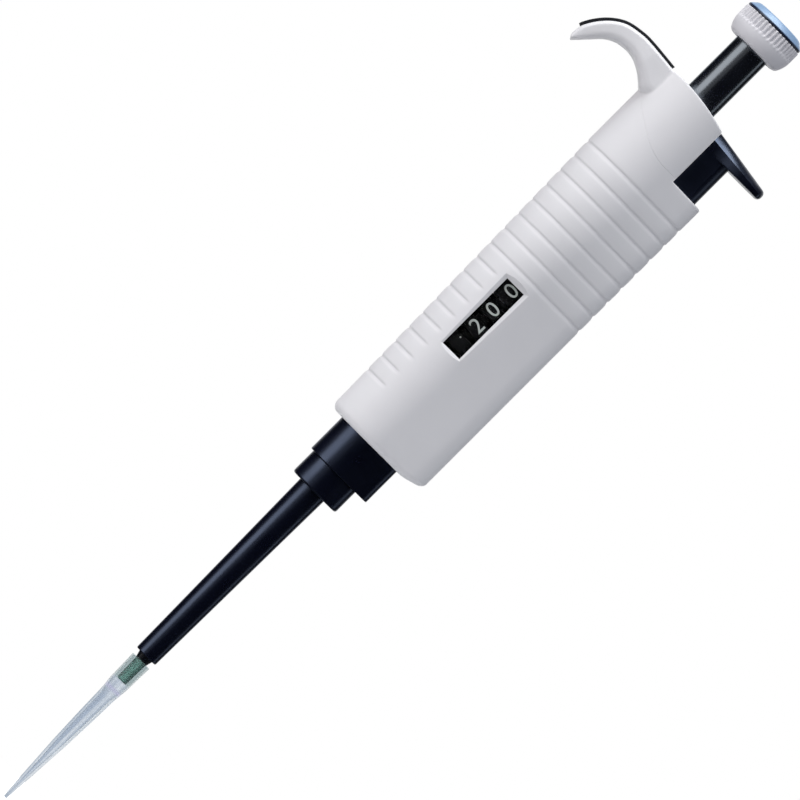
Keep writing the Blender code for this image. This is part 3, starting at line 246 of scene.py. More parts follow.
def spun(profile, steps):
    """A closed section of (radius, height) points, spun about the plunger's axis."""
    bm = bmesh.new()
    section = [bm.verts.new((r, 0.0, z)) for r, z in profile]
    edges = [bm.edges.new(pair) for pair in zip(section, section[1:])]
    if profile[0][0] > 0.0:
        edges.append(bm.edges.new((section[-1], section[0])))
    bmesh.ops.spin(bm, geom=section + edges, cent=(0.0, 0.0, 0.0), axis=(0.0, 0.0, 1.0),
                   angle=2 * math.pi, steps=steps, use_merge=True)
    bmesh.ops.remove_doubles(bm, verts=bm.verts[:], dist=MERGED_WITHIN)
    bmesh.ops.recalc_face_normals(bm, faces=bm.faces[:])
    return bm


def piece_of(bm, name, paint, sharp_degrees=SHARP_DEGREES):
    """The bmesh as a named piece with its paint, smooth but for its sharp edges."""
    mesh = mesh_of(bm, name)
    mesh.materials.append(paint)
    mesh.shade_smooth()
    mesh.set_sharp_from_angle(angle=math.radians(sharp_degrees))
    return placed(name, mesh)


def noise(tree, place, scale, detail=2.0):
    return wired(tree, "TexNoise", {"Vector": place, "Scale": scale, "Detail": detail})["Fac"]


def bumped(tree, height, distance, strength):
    """The surface's direction, roughened by that height."""
    raised = {"Height": height, "Distance": distance, "Strength": strength}
    return wired(tree, "Bump", raised)["Normal"]


tip_paint, tree, shader = new_paint("tip_polypropylene")
place = wired(tree, "TexCoord")["Object"]
level = wired(tree, "SeparateXYZ", {"Vector": place})["Z"]
stretched = wired(tree, "Mapping", {"Vector": place, "Scale": FLOW_LINES})["Vector"]
flow = noise(tree, stretched, 1.0, 1.5)
ribbing = ranged(tree, flow, 0.40, 0.60)
pale = ranged(tree, level, TIP_RING_Z - 0.0030, TIP_RING_Z, 0.0, 0.35)
evened = wired(tree, "Math", {0: ribbing, 1: pale}, operation="ADD", use_clamp=True)[0]
# Painted shade: where the tip's surface turns away from the camera, its colour goes over to a dark
# grey-blue.
grazing = wired(tree, "LayerWeight", {"Blend": 0.35})["Facing"]
edge_shaded = mixed(tree, grazing, mixed(tree, evened, MILK_SHADED, MILK_PALE), TIP_EDGE_PAINTED_SHADE)
off_ring = wired(tree, "Math", {0: level, 1: TIP_RING_Z}, operation="SUBTRACT")[0]
either_side = wired(tree, "Math", {0: off_ring}, operation="ABSOLUTE")[0]
ringed = mixed(tree, ranged(tree, either_side, 0.0002, 0.0009, 0.8, 0.0), edge_shaded, TIP_RING_LINE)
wire(tree, shader, {
    "Base Color": mixed(tree, ranged(tree, level, *TIP_TINTS), ringed, TIP_COLLAR_TINT),
    "Transmission Weight": ranged(tree, level, *TIP_CLEARS, 0.97, 0.985, "SMOOTHSTEP"),
    "Roughness": ranged(tree, flow, 0.0, 1.0, 0.04, 0.10),
    "Normal": bumped(tree, flow, 0.000005, 0.5),
    "IOR": 1.25,
})

tip_bore = []
for r, z in reversed(TIP_OUTER[:-1]):
    wall = TIP_WALL if z > TIP_SEAT else TIP_LOW_WALL
    tip_bore.append((max(r - wall, TIP_BORE_END), z))
bm = spun(list(TIP_OUTER) + [(TIP_BORE_END, 0.0)] + tip_bore, FINE_STEPS)
for vert in bm.verts:
    radius = math.hypot(vert.co.x, vert.co.y)
    rib = TIP_RIB_DEPTH * (0.5 - 0.5 * math.cos(TIP_RIBS * math.atan2(vert.co.y, vert.co.x)))
    if vert.co.z >= TIP_COLLAR_LOW and radius > TIP_STEP_R:
        scale = 1.0 - rib / radius
        vert.co.x *= scale
        vert.co.y *= scale
tip = piece_of(bm, "clear_tip", tip_paint)
tip.visible_shadow = False  # so that the lamps reach the cone inside it
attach(tip, "fitted_tip")
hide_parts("tip")

# Tip cone
# The lower barrel, moulded in dark plastic, which screws into the handle and takes the tip on its
# end. It shows through the tip's collar and in the gap under the sleeve that runs over the rest.
CONE_LOW, CONE_HIGH = (corner[2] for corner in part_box("tip_cone"))
CONE_THREAD_R = 0.0066
CONE_THREAD_FOOT = CONE_HIGH - 0.0081
CONE_BARREL_R = 0.0056
CONE_SHOULDER = 0.1149
CONE_STEM_R = 0.00335
CONE_STEM_TOP = 0.1128
CONE_SLEEVE_END = 0.0518
CONE_SLEEVE_END_R = 0.0023
CONE_RIM_R = 0.0018  # at the tip's rim
CONE_END_R = 0.00150
CONE_BORE_R = 0.0007
CHAMBER_R = 0.00255
CHAMBER_LOW = 0.1046  # the piston's end comes down to just above this
SEAL_R = 0.0041
SEAL_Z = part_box("piston_seal")[0][2] - 0.0003
RETAINER_R = 0.0048
RETAINER_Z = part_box("seal_retainer")[0][2]
CONE_BLACK = (0.002, 0.003, 0.006)
# painted light and shade for the cone inside the tip: pale green in its middle, dark at its sides
CONE_PAINTED_LIGHT_IN_TIP = (0.235, 0.430, 0.360)
CONE_PAINTED_SHADE_IN_TIP = (0.012, 0.045, 0.040)
TURNED_STEPS = 96


def eased(corners, steps=4):
    """The corners (a, b, ease) of a section, each rounded over the length of its ease."""
    points = []
    for i, (a, b, ease) in enumerate(corners):
        here = Vector((a, b))
        if ease == 0.0:
            points.append((a, b))
            continue
        before = Vector(corners[i - 1][:2])
        after = Vector(corners[(i + 1) % len(corners)][:2])
        start = here + (before - here).normalized() * ease
        end = here + (after - here).normalized() * ease
        for step in range(steps + 1):
            t = step / steps
            spot = start * (1 - t) ** 2 + here * 2 * t * (1 - t) + end * t ** 2
            points.append((spot.x, spot.y))
    return points


def moulded_plastic(name, colour, roughness, cloud=0.03, grain=0.000006, gloss=0.5, rubbed=0.12,
                    sheen_colour=(1.0, 1.0, 1.0), ior=1.5):
    """Moulded plastic: faintly clouded colour, a fine eroded grain, and rubbed, paler edges."""
    made, tree, shader = new_paint(name)
    place = wired(tree, "TexCoord")["Object"]
    clouds = noise(tree, place, 140.0, 4.0)
    darker = [c * (1 - cloud) for c in colour]
    lighter = [min(1.0, c * (1 + cloud)) for c in colour]
    worn = [min(1.0, c * 1.25 + 0.02) for c in colour]
    pointed = wired(tree, "NewGeometry")["Pointiness"]
    edge = ranged(tree, pointed, 0.52, 0.62, 0.0, rubbed)
    wire(tree, shader, {
        "Base Color": mixed(tree, edge, mixed(tree, clouds, darker, lighter), worn),
        "Roughness": ranged(tree, clouds, 0.3, 0.7, roughness * 0.9, roughness * 1.12),
        "Normal": bumped(tree, noise(tree, place, 5200.0), grain, 0.6),
        "Specular IOR Level": gloss, "Specular Tint": (*sheen_colour, 1.0), "IOR": ior,
    })
    return made


def coloured_below(paint, colour, low, high):
    """Gives the paint another colour below a height, with a short run between the two."""
    tree = paint.node_tree
    base = tree.nodes["Principled BSDF"].inputs["Base Color"]
    place = tree.nodes["Texture Coordinate"].outputs["Object"]
    level = wired(tree, "SeparateXYZ", {"Vector": place})["Z"]
    above = base.links[0].from_socket
    tree.links.new(mixed(tree, ranged(tree, level, low, high), colour, above), base)


cone_paint = moulded_plastic("cone_plastic", CONE_BLACK, 0.30, gloss=0.3)
# Inside the tip the dark cone is painted pale green in its middle, painted light for the milky tip
# in front of it, and goes over to painted shade at its sides as they turn from the camera.
turned_away = wired(cone_paint.node_tree, "LayerWeight", {"Blend": 0.82})["Facing"]
cone_light_and_shade = mixed(cone_paint.node_tree, turned_away, CONE_PAINTED_LIGHT_IN_TIP, CONE_PAINTED_SHADE_IN_TIP)
coloured_below(cone_paint, cone_light_and_shade, TIP_TOP - 0.0002, TIP_TOP + 0.0002)
cone_section = eased((
    (CONE_THREAD_R, CONE_HIGH, 0.0004), (CONE_THREAD_R, CONE_THREAD_FOOT, 0.0003),
    (CONE_BARREL_R, CONE_THREAD_FOOT, 0.0), (CONE_BARREL_R, CONE_SHOULDER, 0.0004),
    (CONE_STEM_R, CONE_SHOULDER, 0.0003), (CONE_STEM_R, CONE_STEM_TOP, 0.0),
    (CONE_SLEEVE_END_R, CONE_SLEEVE_END, 0.0), (CONE_RIM_R, TIP_TOP, 0.0),
    (CONE_END_R, CONE_LOW, 0.0004),
    (CONE_BORE_R, CONE_LOW, 0.0), (CONE_BORE_R, CHAMBER_LOW - 0.0006, 0.0),
    (CHAMBER_R, CHAMBER_LOW, 0.0), (CHAMBER_R, SEAL_Z, 0.0), (SEAL_R, SEAL_Z, 0.0),
    (SEAL_R, RETAINER_Z, 0.0), (RETAINER_R, RETAINER_Z, 0.0), (RETAINER_R, CONE_HIGH, 0.0),
))
cone = piece_of(spun(cone_section, TURNED_STEPS), "cone", cone_paint)
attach(cone, "housing")
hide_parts("tip_cone")

# Ejector sleeve
# A long tapered tube in glossy black plastic, with a narrow egg-shaped collar at its top, in one
# moulding. A spigot above the collar plugs it into the wide collar.
SLEEVE_LOW, SLEEVE_HIGH = (corner[2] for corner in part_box("ejector_sleeve"))
SLEEVE_NECK_R = 0.0043
SLEEVE_NECK_BORE_R = 0.00365
SLEEVE_END_R = 0.0032
SLEEVE_END_BORE_R = 0.0025
SPIGOT_R = 0.0066
BARREL_FIT_R = 0.0059
NARROW_EGG = (0.0070, 0.0050, 0.0034)  # its big and small radii, and the reach between them
NARROW_LOW = 0.1128
SPIGOT_LOW = NARROW_LOW + 0.003
NARROW_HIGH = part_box("ejector_collar")[0][2] - 0.00005
NARROW_FLOOR = NARROW_LOW + 0.0015
NARROW_EASE = 0.0007
NARROW_TOP_EASE = 0.0001
BIG_SHARE = 0.62  # of an egg's points, on its big arc
PAST = 0.001  # how far a cutting shape reaches past the piece
GLOSSY_BLACK = dict(cloud=0.10, grain=0.000001, gloss=1.0, rubbed=0.02, ior=1.6,
                    sheen_colour=(0.54, 0.68, 1.0))


def egg_ring(egg, inset=0.0, count=96):
    """Two arcs and their tangents, seen from above: the big one on the axis, the small at +X."""
    big_r, small_r, reach = egg[0] - inset, egg[1] - inset, egg[2]
    meet = math.acos((big_r - small_r) / reach)
    big_count = int(count * BIG_SHARE)
    small_count = (count - big_count) * 3 // 5
    straight = (count - big_count - small_count) // 2
    ring = []
    for i in range(big_count):
        angle = meet + 2 * (math.pi - meet) * i / (big_count - 1)
        ring.append(Vector((big_r * math.cos(angle), big_r * math.sin(angle))))
    tail = []
    for i in range(small_count):
        angle = -meet + 2 * meet * i / (small_count - 1)
        tail.append(Vector((reach + small_r * math.cos(angle), small_r * math.sin(angle))))
    lower = [ring[-1].lerp(tail[0], (i + 1) / (straight + 1)) for i in range(straight)]
    upper = [tail[-1].lerp(ring[0], (i + 1) / (straight + 1)) for i in range(straight)]
    return ring + lower + tail + upper


def skinned(rings):
    """A closed skin over rings of equal count, wrapped from a grid and capped at both ends."""
    count = len(rings[0])
    bm = bmesh.new()
    bmesh.ops.create_grid(bm, x_segments=count, y_segments=len(rings) - 1, size=1.0)
    for vert in bm.verts:
        along = round((vert.co.x + 1) / 2 * count) % count
        level = round((vert.co.y + 1) / 2 * (len(rings) - 1))
        vert.co = rings[level][along]
    bmesh.ops.remove_doubles(bm, verts=bm.verts[:], dist=MERGED_WITHIN)
    bmesh.ops.holes_fill(bm, edges=bm.edges[:], sides=0)
    bmesh.ops.recalc_face_normals(bm, faces=bm.faces[:])
    return bm


def level_ring(outline, z):
    return [(point.x, point.y, z) for point in outline]


def quarter(parts):
    """The sines and cosines of a quarter turn in equal parts."""
    turns = [i / parts * math.pi / 2 for i in range(parts + 1)]
    return [(math.sin(turn), math.cos(turn)) for turn in turns]


def collar_rings(egg, low, high, foot_ease, top_ease):
    """An egg-shaped collar with a rounded foot, ring by ring."""
    rings = []
    for sine, cosine in quarter(5):
        ring = egg_ring(egg, foot_ease * (1 - sine))
        rings.append(level_ring(ring, low + foot_ease * (1 - cosine)))
    rings.append(level_ring(egg_ring(egg), high - top_ease))
    rings.append(level_ring(egg_ring(egg, top_ease), high))
    return rings


def worked_out(made):
    """A new mesh of the object, with its modifiers or its lettering worked out."""
    graph = bpy.context.evaluated_depsgraph_get()
    graph.update()
    return bpy.data.meshes.new_from_object(made.evaluated_get(graph))


def carve(piece, tool, operation="DIFFERENCE"):
    """Cuts a closed bmesh out of the piece, or joins it on, and keeps the result."""
    helper = placed("tool", mesh_of(tool, "tool"))
    modifier = piece.modifiers.new("carve", "BOOLEAN")
    modifier.operation = operation
    modifier.object = helper
    cut = worked_out(piece)
    piece.modifiers.clear()
    piece.data = cut
    bpy.data.objects.remove(helper)
    cut.shade_smooth()
    cut.set_sharp_from_angle(angle=math.radians(SHARP_DEGREES))


ejector_paint = moulded_plastic("ejector_black", (0.0003, 0.0003, 0.0056), 0.29, **GLOSSY_BLACK)
sleeve_outer = eased((
    (0.0, SLEEVE_HIGH, 0.0), (SPIGOT_R, SLEEVE_HIGH, 0.0003), (SPIGOT_R, SPIGOT_LOW, 0.0),
    (SLEEVE_NECK_R, SPIGOT_LOW, 0.0), (SLEEVE_NECK_R, NARROW_LOW, 0.0),
    (0.00337, SLEEVE_LOW + 0.0002, 0.0001), (SLEEVE_END_R, SLEEVE_LOW, 0.0),
    (0.0, SLEEVE_LOW, 0.0),
))
sleeve = piece_of(spun(sleeve_outer, TURNED_STEPS), "sleeve", ejector_paint)
narrow_rings = collar_rings(NARROW_EGG, NARROW_LOW, NARROW_HIGH, NARROW_EASE, NARROW_TOP_EASE)
carve(sleeve, skinned(narrow_rings), "UNION")
carve(sleeve, spun((
    (0.0, SLEEVE_HIGH + PAST), (BARREL_FIT_R, SLEEVE_HIGH + PAST), (BARREL_FIT_R, NARROW_FLOOR),
    (SLEEVE_NECK_BORE_R, NARROW_FLOOR), (SLEEVE_NECK_BORE_R, NARROW_LOW),
    (SLEEVE_END_BORE_R, SLEEVE_LOW), (SLEEVE_END_BORE_R, SLEEVE_LOW - PAST),
    (0.0, SLEEVE_LOW - PAST),
), TURNED_STEPS))
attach(sleeve, "ejector")
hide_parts("ejector_sleeve")

# Ejector collar
# The wide collar under the handle, moulded in the same black plastic, joins the sleeve to the
# ejector's rod, whose socket is in its lobe. It is drawn up into the handle's mouth.
WIDE_LOW, WIDE_HIGH = (corner[2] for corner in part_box("ejector_collar"))
WIDE_EGG = (0.0079, 0.0036, 0.0086)
WIDE_EASE = 0.0003
SPIGOT_SOCKET_R = 0.0069
SPIGOT_SOCKET_TOP = SLEEVE_HIGH + 0.0003
wide_rings = collar_rings(WIDE_EGG, WIDE_LOW, WIDE_HIGH, WIDE_EASE, WIDE_EASE)
collar = piece_of(skinned(wide_rings), "collar", ejector_paint)
carve(collar, spun((
    (0.0, WIDE_HIGH + PAST), (BARREL_FIT_R, WIDE_HIGH + PAST), (BARREL_FIT_R, SPIGOT_SOCKET_TOP),
    (SPIGOT_SOCKET_R, SPIGOT_SOCKET_TOP), (SPIGOT_SOCKET_R, WIDE_LOW - PAST),
    (0.0, WIDE_LOW - PAST),
), TURNED_STEPS))
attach(collar, "ejector")
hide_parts("ejector_collar")

# Handle shell
# The grip, moulded in pale grey plastic with a satin grain. Eight bands run all round it, nine
# shorter ones only on the hook's side, and a bevelled window is let into its front.
SHELL_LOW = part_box("handle_shell")[0][2]
SHELL_BIG_R_LOW = 0.0118
SHELL_BIG_R_TOP = 0.0136
SHELL_SMALL_R = 0.0072
SHELL_REACH = 0.0128
SHELL_POINTS = 160
SHELL_WALL = 0.0018
DEEPER = 0.001  # a second ring under the surface, that the relief is measured towards
SHELL_EDGE = 0.0022
SHELL_RISE = 0.0013  # of the bottom edge, at the small end
SHOULDER_Z = 0.2353
SHOULDER_EDGE = 0.0006
SHOULDER_FLOOR = SHOULDER_Z - 0.0036
SHELL_GROWS_TO = 0.2275
SHELL_HIGH = 0.2490
BAND_PITCH = 0.00521
BAND_COUNT = 8
SIDE_PITCH = 0.00508
SIDE_COUNT = 9
SIDE_TOP = SHELL_GROWS_TO - (BAND_COUNT - 1) * BAND_PITCH - SIDE_PITCH
SIDE_FADE = (-0.0072, -0.0050)
BAND_BULGE = 0.00009
GROOVE_DEPTH = 0.00020
GROOVE_LIP = 0.00055  # over the groove's bottom, steep
GROOVE_RUN = 0.00120  # under it, gentle, so that it catches the light
LIP_SHARES = (-1.0, -0.75, -0.5, -0.25, 0.0)
RUN_SHARES = (0.1, 0.25, 0.4, 0.55, 0.7, 0.85, 1.0)
BULGE_SHARES = (0.16, 0.28, 0.4, 0.52, 0.64)
CUT_BACK_X = 0.0096
PARTING = (
    (-0.0200, 0.2462), (-0.0136, 0.2460), (-0.0122, 0.2456), (-0.0102, 0.2436), (-0.0057, 0.2404),
    (-0.0011, 0.2377), (0.0033, 0.2364), (0.0065, 0.2363), (CUT_BACK_X, 0.2363),
)
CAVITY_LOW = SHELL_LOW + 0.0023
CAVITY_TOP = SHOULDER_Z - 0.0018
MOUTH_TOP = SHELL_LOW + 0.0030
MOUTH_FIT = 0.0003
BARREL_POINTS = 120
SHANK_LEFT = 0.0097
SHANK_HALF = 0.0043
SHANK_R = 0.0051
SHANK_FIT = 0.0003
WINDOW_LOW, WINDOW_HIGH = 0.1638, 0.1873
WINDOW_HALF = 0.00295
WINDOW_BEVEL = (0.0022, 0.00125)  # at its sides, where the grip falls away, and at its ends
WINDOW_BEVEL_DEPTH = 0.00105
WINDOW_BACK = -0.0094
LENS_LOW, LENS_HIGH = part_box("window_lens")
LENS_FIT = 0.0003
FAR = 0.03  # past the handle's sides, for the shapes that cut it
OVER_CAP = 0.26

shell_paint = moulded_plastic(
    "handle_grey", (0.720, 0.708, 0.715), 0.46, cloud=0.012, grain=0.000010, gloss=0.35,
    rubbed=0.10,
)


def shell_radius(z):
    share = min(1.0, max(0.0, (z - SHELL_LOW) / (SHELL_GROWS_TO - SHELL_LOW)))
    return SHELL_BIG_R_LOW + (SHELL_BIG_R_TOP - SHELL_BIG_R_LOW) * share


def smooth_step(low, high, value):
    share = min(1.0, max(0.0, (value - low) / (high - low)))
    return share * share * (3 - 2 * share)


def band_inset(z, top, pitch, count):
    """How far the surface lies below the plain form at that height: bulged bands and grooves."""
    place = (top - z) / pitch
    if place < -0.5 or place > count - 0.5:
        return 0.0
    under = (place - round(place)) * pitch
    bulge = BAND_BULGE * (1 - min(1.0, 2 * abs(under) / pitch)) ** 2
    run = GROOVE_RUN if under > 0 else GROOVE_LIP
    groove = GROOVE_DEPTH * (1 - smooth_step(0.0, run, abs(under)))
    ends = min(1.0, 2 * (place + 0.5), 2 * (count - 0.5 - place))
    return bulge * ends + groove


def shell_ring(z, inset):
    return egg_ring((shell_radius(z), SHELL_SMALL_R, SHELL_REACH), inset, SHELL_POINTS)


def shell_outside(z):
    """One ring of the outside, with the bands' relief and the side bands faded out by X."""
    low_edge = max(0.0, 1 - (z - SHELL_LOW) / SHELL_EDGE)
    round_off = SHELL_EDGE * (1 - math.sqrt(max(0.0, 1 - low_edge ** 2)))
    lift = SHELL_RISE * max(0.0, 1 - (z - SHELL_LOW) / (3 * SHELL_EDGE))
    all_round = band_inset(z, SHELL_GROWS_TO, BAND_PITCH, BAND_COUNT)
    one_side = band_inset(z, SIDE_TOP, SIDE_PITCH, SIDE_COUNT)
    into_edge = min(1.0, max(0.0, 1 - (SHOULDER_Z - z) / SHOULDER_EDGE))
    shoulder_round = SHOULDER_EDGE * (1 - math.sqrt(1 - into_edge ** 2))
    ring = []
    for outer, inner in zip(shell_ring(z, round_off), shell_ring(z, round_off + DEEPER)):
        fade = 1 - smooth_step(*SIDE_FADE, outer.x)
        shoulder = shoulder_round * smooth_step(CUT_BACK_X, CUT_BACK_X + 0.0012, outer.x)
        spot = outer.lerp(inner, max(all_round, one_side * fade, shoulder) / DEEPER)
        ring.append((spot.x, spot.y, z + lift * smooth_step(SHELL_REACH, 0.0200, outer.x)))
    return ring


shell_levels = [SHELL_LOW + SHELL_EDGE * (1 - cosine) for _, cosine in quarter(8)]
grooves = [SHELL_GROWS_TO - i * BAND_PITCH for i in range(BAND_COUNT)]
grooves += [SIDE_TOP - i * SIDE_PITCH for i in range(SIDE_COUNT)]
relief_levels = []
for groove_z in grooves:
    relief_levels += [groove_z - share * GROOVE_LIP for share in LIP_SHARES]
    relief_levels += [groove_z - share * GROOVE_RUN for share in RUN_SHARES]
    relief_levels += [groove_z + share * BAND_PITCH for share in BULGE_SHARES]
shell_levels += sorted(z for z in relief_levels if z > shell_levels[-1] + 0.001)
shell_levels.append(SHOULDER_Z - 0.003)
shell_levels += [SHOULDER_Z - SHOULDER_EDGE * (1 - sine) for sine, _ in quarter(6)]
shell_levels.append(SHELL_HIGH)
shell = piece_of(skinned([shell_outside(z) for z in shell_levels]), "shell", shell_paint)


def prism(outline, low, high):
    """An outline seen from above, drawn up from one height to another."""
    return skinned([[(x, y, z) for x, y in outline] for z in (low, high)])


def side_prism(outline, half_width):
    """An outline seen from the front, drawn out to both sides."""
    return skinned([[(x, y, z) for x, z in outline] for y in (-half_width, half_width)])


def block(low, high):
    bm = bmesh.new()
    bmesh.ops.create_cube(bm, size=1.0)
    bmesh.ops.scale(bm, vec=[b - a for a, b in zip(low, high)], verts=bm.verts[:])
    bmesh.ops.translate(bm, vec=[(a + b) / 2 for a, b in zip(low, high)], verts=bm.verts[:])
    return bm


def curve_through(points, parts=6):
    """Catmull-Rom points through the given ones."""
    path = []
    last = len(points) - 1
    for i in range(last):
        a, b = Vector(points[max(i - 1, 0)]), Vector(points[i])
        c, d = Vector(points[i + 1]), Vector(points[min(i + 2, last)])
        for step in range(parts):
            t = step / parts
            path.append(0.5 * (2 * b + (c - a) * t + (2 * a - 5 * b + 4 * c - d) * t * t
                               + (3 * b - a - 3 * c + d) * t ** 3))
    path.append(Vector(points[-1]))
    return path


cavity_levels = (CAVITY_LOW, SHELL_GROWS_TO, CAVITY_TOP)
carve(shell, skinned([level_ring(shell_ring(z, SHELL_WALL), z) for z in cavity_levels]))
barrel_outline = []
barrel_meet = math.acos(CUT_BACK_X / SHELL_BIG_R_TOP)
for i in range(BARREL_POINTS):
    angle = barrel_meet + 2 * (math.pi - barrel_meet) * i / (BARREL_POINTS - 1)
    barrel_outline.append(Vector((math.cos(angle), math.sin(angle))) * SHELL_BIG_R_TOP)


def barrel_inside(gap):
    """The barrel's outline, drawn in by the wall and a gap, and cut back with it."""
    share = (SHELL_BIG_R_TOP - SHELL_WALL - gap) / SHELL_BIG_R_TOP
    return [(min(p.x * share, CUT_BACK_X - SHELL_WALL), p.y * share) for p in barrel_outline]


carve(shell, prism(barrel_inside(0.0), SHOULDER_FLOOR, SHELL_HIGH + PAST))
mouth = egg_ring(WIDE_EGG, -MOUTH_FIT, SHELL_POINTS)
carve(shell, prism(mouth, SHELL_LOW - PAST, MOUTH_TOP))
carve(shell, block((CUT_BACK_X, -FAR, SHOULDER_Z), (FAR, FAR, SHELL_HIGH + PAST)))
lid = curve_through(PARTING)
lid += [(FAR, PARTING[-1][1]), (FAR, OVER_CAP), (PARTING[0][0], OVER_CAP)]
carve(shell, side_prism(lid, FAR))


def shank_outline(grow):
    """The button's shank from above: flat beside the cap, round on its outer side."""
    left, half, radius = SHANK_LEFT - grow, SHANK_HALF + grow, SHANK_R + grow
    meet = math.asin(half / radius)
    arc = [-meet + 2 * meet * i / 24 for i in range(25)]
    outer = [(SHELL_REACH + radius * math.cos(a), radius * math.sin(a)) for a in arc]
    return [(left, -half)] + outer + [(left, half)]


carve(shell, prism(shank_outline(SHANK_FIT), SHOULDER_FLOOR, SHOULDER_Z + PAST))
window_front = -shell_radius((WINDOW_LOW + WINDOW_HIGH) / 2)
window_rings = []
for depth in (-PAST, WINDOW_BEVEL_DEPTH):
    share = (WINDOW_BEVEL_DEPTH - depth) / WINDOW_BEVEL_DEPTH
    half = WINDOW_HALF + WINDOW_BEVEL[0] * share
    low, high = WINDOW_LOW - WINDOW_BEVEL[1] * share, WINDOW_HIGH + WINDOW_BEVEL[1] * share
    y = window_front + depth
    window_rings.append([(-half, y, low), (half, y, low), (half, y, high), (-half, y, high)])
carve(shell, skinned(window_rings))
carve(shell, block((-WINDOW_HALF, -FAR, WINDOW_LOW), (WINDOW_HALF, WINDOW_BACK, WINDOW_HIGH)))
carve(shell, block(
    [v - LENS_FIT for v in LENS_LOW],
    (LENS_HIGH[0] + LENS_FIT, WINDOW_BACK, LENS_HIGH[2] + LENS_FIT),
))
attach(shell, "housing")
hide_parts("handle_shell")

# Top cap
# The handle's top and its finger hook in one moulding, of the same grey plastic. The barrel is
# cut back for the button, its top is level at the hook and falls away towards the button.
CAP_LEVEL = 0.2560
CAP_CREST_X = -0.0100
CAP_FALL = 6.8
CAP_PLATE = 0.0022
SEAM = 0.00003  # between the two mouldings
CAP_SIDE = -SHELL_BIG_R_TOP - 0.0004
CAP_CUT_LOW = 0.2250
CAP_HOLLOW_LOW = 0.2300
TONGUE_Z = 0.2320
PLUNGER_HOLE_R = 0.00545
HOOK_INNER = (
    (-0.0354, 0.2429), (-0.0321, 0.2464), (-0.0293, 0.2493), (-0.0264, 0.2509), (-0.0229, 0.2514),
    (-0.0200, 0.2509), (-0.0171, 0.2494), (-0.0150, 0.2477), (-0.0132, 0.2463), (-0.0095, 0.2463),
)
HOOK_CREST = (
    (-0.0362, 0.2442), (-0.0356, 0.2479), (-0.0324, 0.2526), (-0.0281, 0.2558), (-0.0229, 0.2569),
    (-0.0193, 0.2569), (-0.0158, 0.2566), (-0.0128, 0.2563), (-0.0104, 0.2560), (-0.0070, 0.2551),
)
HOOK_HALF = 0.0088
HOOK_TIP_HALF = 0.0062
HOOK_CROWN = (0.0010, 0.0006)  # at the hook's tip and at its root
HOOK_UNDER_EASE = (0.0022, 0.0030)  # at the hook's tip and at its root
STRIP_HALF = 0.0020
STRIP_FIT = 0.00010
STRIP_SUNK = 0.0004
STRIP_GROOVE_TOP = 0.0016
STRIP_FROM, STRIP_TO = 5, -8  # of the crest's points
CAP_VOXEL = 0.00022
CAP_SMOOTHING = 5


def between(pair, share):
    return pair[0] + (pair[1] - pair[0]) * share


def hook_section(share, thick):
    """Half of the hook's section as (Y, height): eased under edge, side, and a crowned back."""
    half = between((HOOK_TIP_HALF, HOOK_HALF), min(1.0, 1.6 * share))
    crown = min(0.6 * thick, between(HOOK_CROWN, share))
    ease = min(between(HOOK_UNDER_EASE, smooth_step(0.6, 0.9, share)), 0.38 * thick)
    points = [(0.0, 0.0), (0.5 * half, 0.0)]
    for sine, cosine in quarter(5):
        points.append((half - ease * (1 - sine), ease * (1 - cosine)))
    for sine, cosine in quarter(12):
        lean = half - (half - STRIP_HALF) * (1 - cosine)
        points.append((lean, thick - crown + crown * sine))
    return points + [(0.5 * STRIP_HALF, thick), (0.0, thick)]


def across_hook(foot, outwards, section):
    """A section of (Y, height) points, set square to the hook at that foot."""
    spots = [(y, foot + outwards * h) for y, h in section]
    return [(spot.x, y, spot.y) for y, spot in spots]


hook_inner = curve_through(HOOK_INNER)
hook_crest = curve_through(HOOK_CREST)
hook_rings = []
for i, (foot, peak) in enumerate(zip(hook_inner, hook_crest)):
    half_section = hook_section(i / (len(hook_inner) - 1), (peak - foot).length)
    section = half_section + [(-y, h) for y, h in reversed(half_section[1:-1])]
    hook_rings.append(across_hook(foot, (peak - foot).normalized(), section))

cap = piece_of(prism(barrel_outline, TONGUE_Z, CAP_LEVEL + 0.002), "cap", shell_paint)
crown_line = [(-FAR, CAP_LEVEL), (CAP_CREST_X, CAP_LEVEL)]
for i in range(1, 25):
    x = CAP_CREST_X + (CUT_BACK_X + PAST - CAP_CREST_X) * i / 24
    crown_line.append((x, CAP_LEVEL - CAP_FALL * (x - CAP_CREST_X) ** 2))
crown_line += [(CUT_BACK_X + PAST, OVER_CAP), (-FAR, OVER_CAP)]
carve(cap, side_prism(crown_line, FAR))
carve(cap, skinned(hook_rings), "UNION")
remesh = cap.modifiers.new("voxels", "REMESH")
remesh.mode = "VOXEL"
remesh.voxel_size = CAP_VOXEL
bm = bmesh.new()
bm.from_mesh(worked_out(cap))
for _ in range(CAP_SMOOTHING):
    bmesh.ops.smooth_vert(bm, verts=bm.verts[:], factor=0.5, use_axis_x=True, use_axis_y=True,
                          use_axis_z=True)
cap.modifiers.clear()
bm.to_mesh(cap.data)
bm.free()

skirt = [(p.x, p.y + SEAM) for p in curve_through(PARTING)]
skirt = [(CAP_SIDE, skirt[0][1])] + [p for p in skirt[1:] if p[0] >= CAP_SIDE]
skirt += [(FAR, skirt[-1][1]), (FAR, CAP_CUT_LOW), (CAP_SIDE, CAP_CUT_LOW)]
carve(cap, side_prism(skirt, FAR))
under = CAP_LEVEL - CAP_FALL * (CUT_BACK_X - CAP_CREST_X) ** 2 - CAP_PLATE
carve(cap, prism(barrel_inside(0.0003), CAP_HOLLOW_LOW, under))
carve(cap, spun((
    (0.0, OVER_CAP), (PLUNGER_HOLE_R, OVER_CAP), (PLUNGER_HOLE_R, CAP_HOLLOW_LOW),
    (0.0, CAP_HOLLOW_LOW),
), TURNED_STEPS))


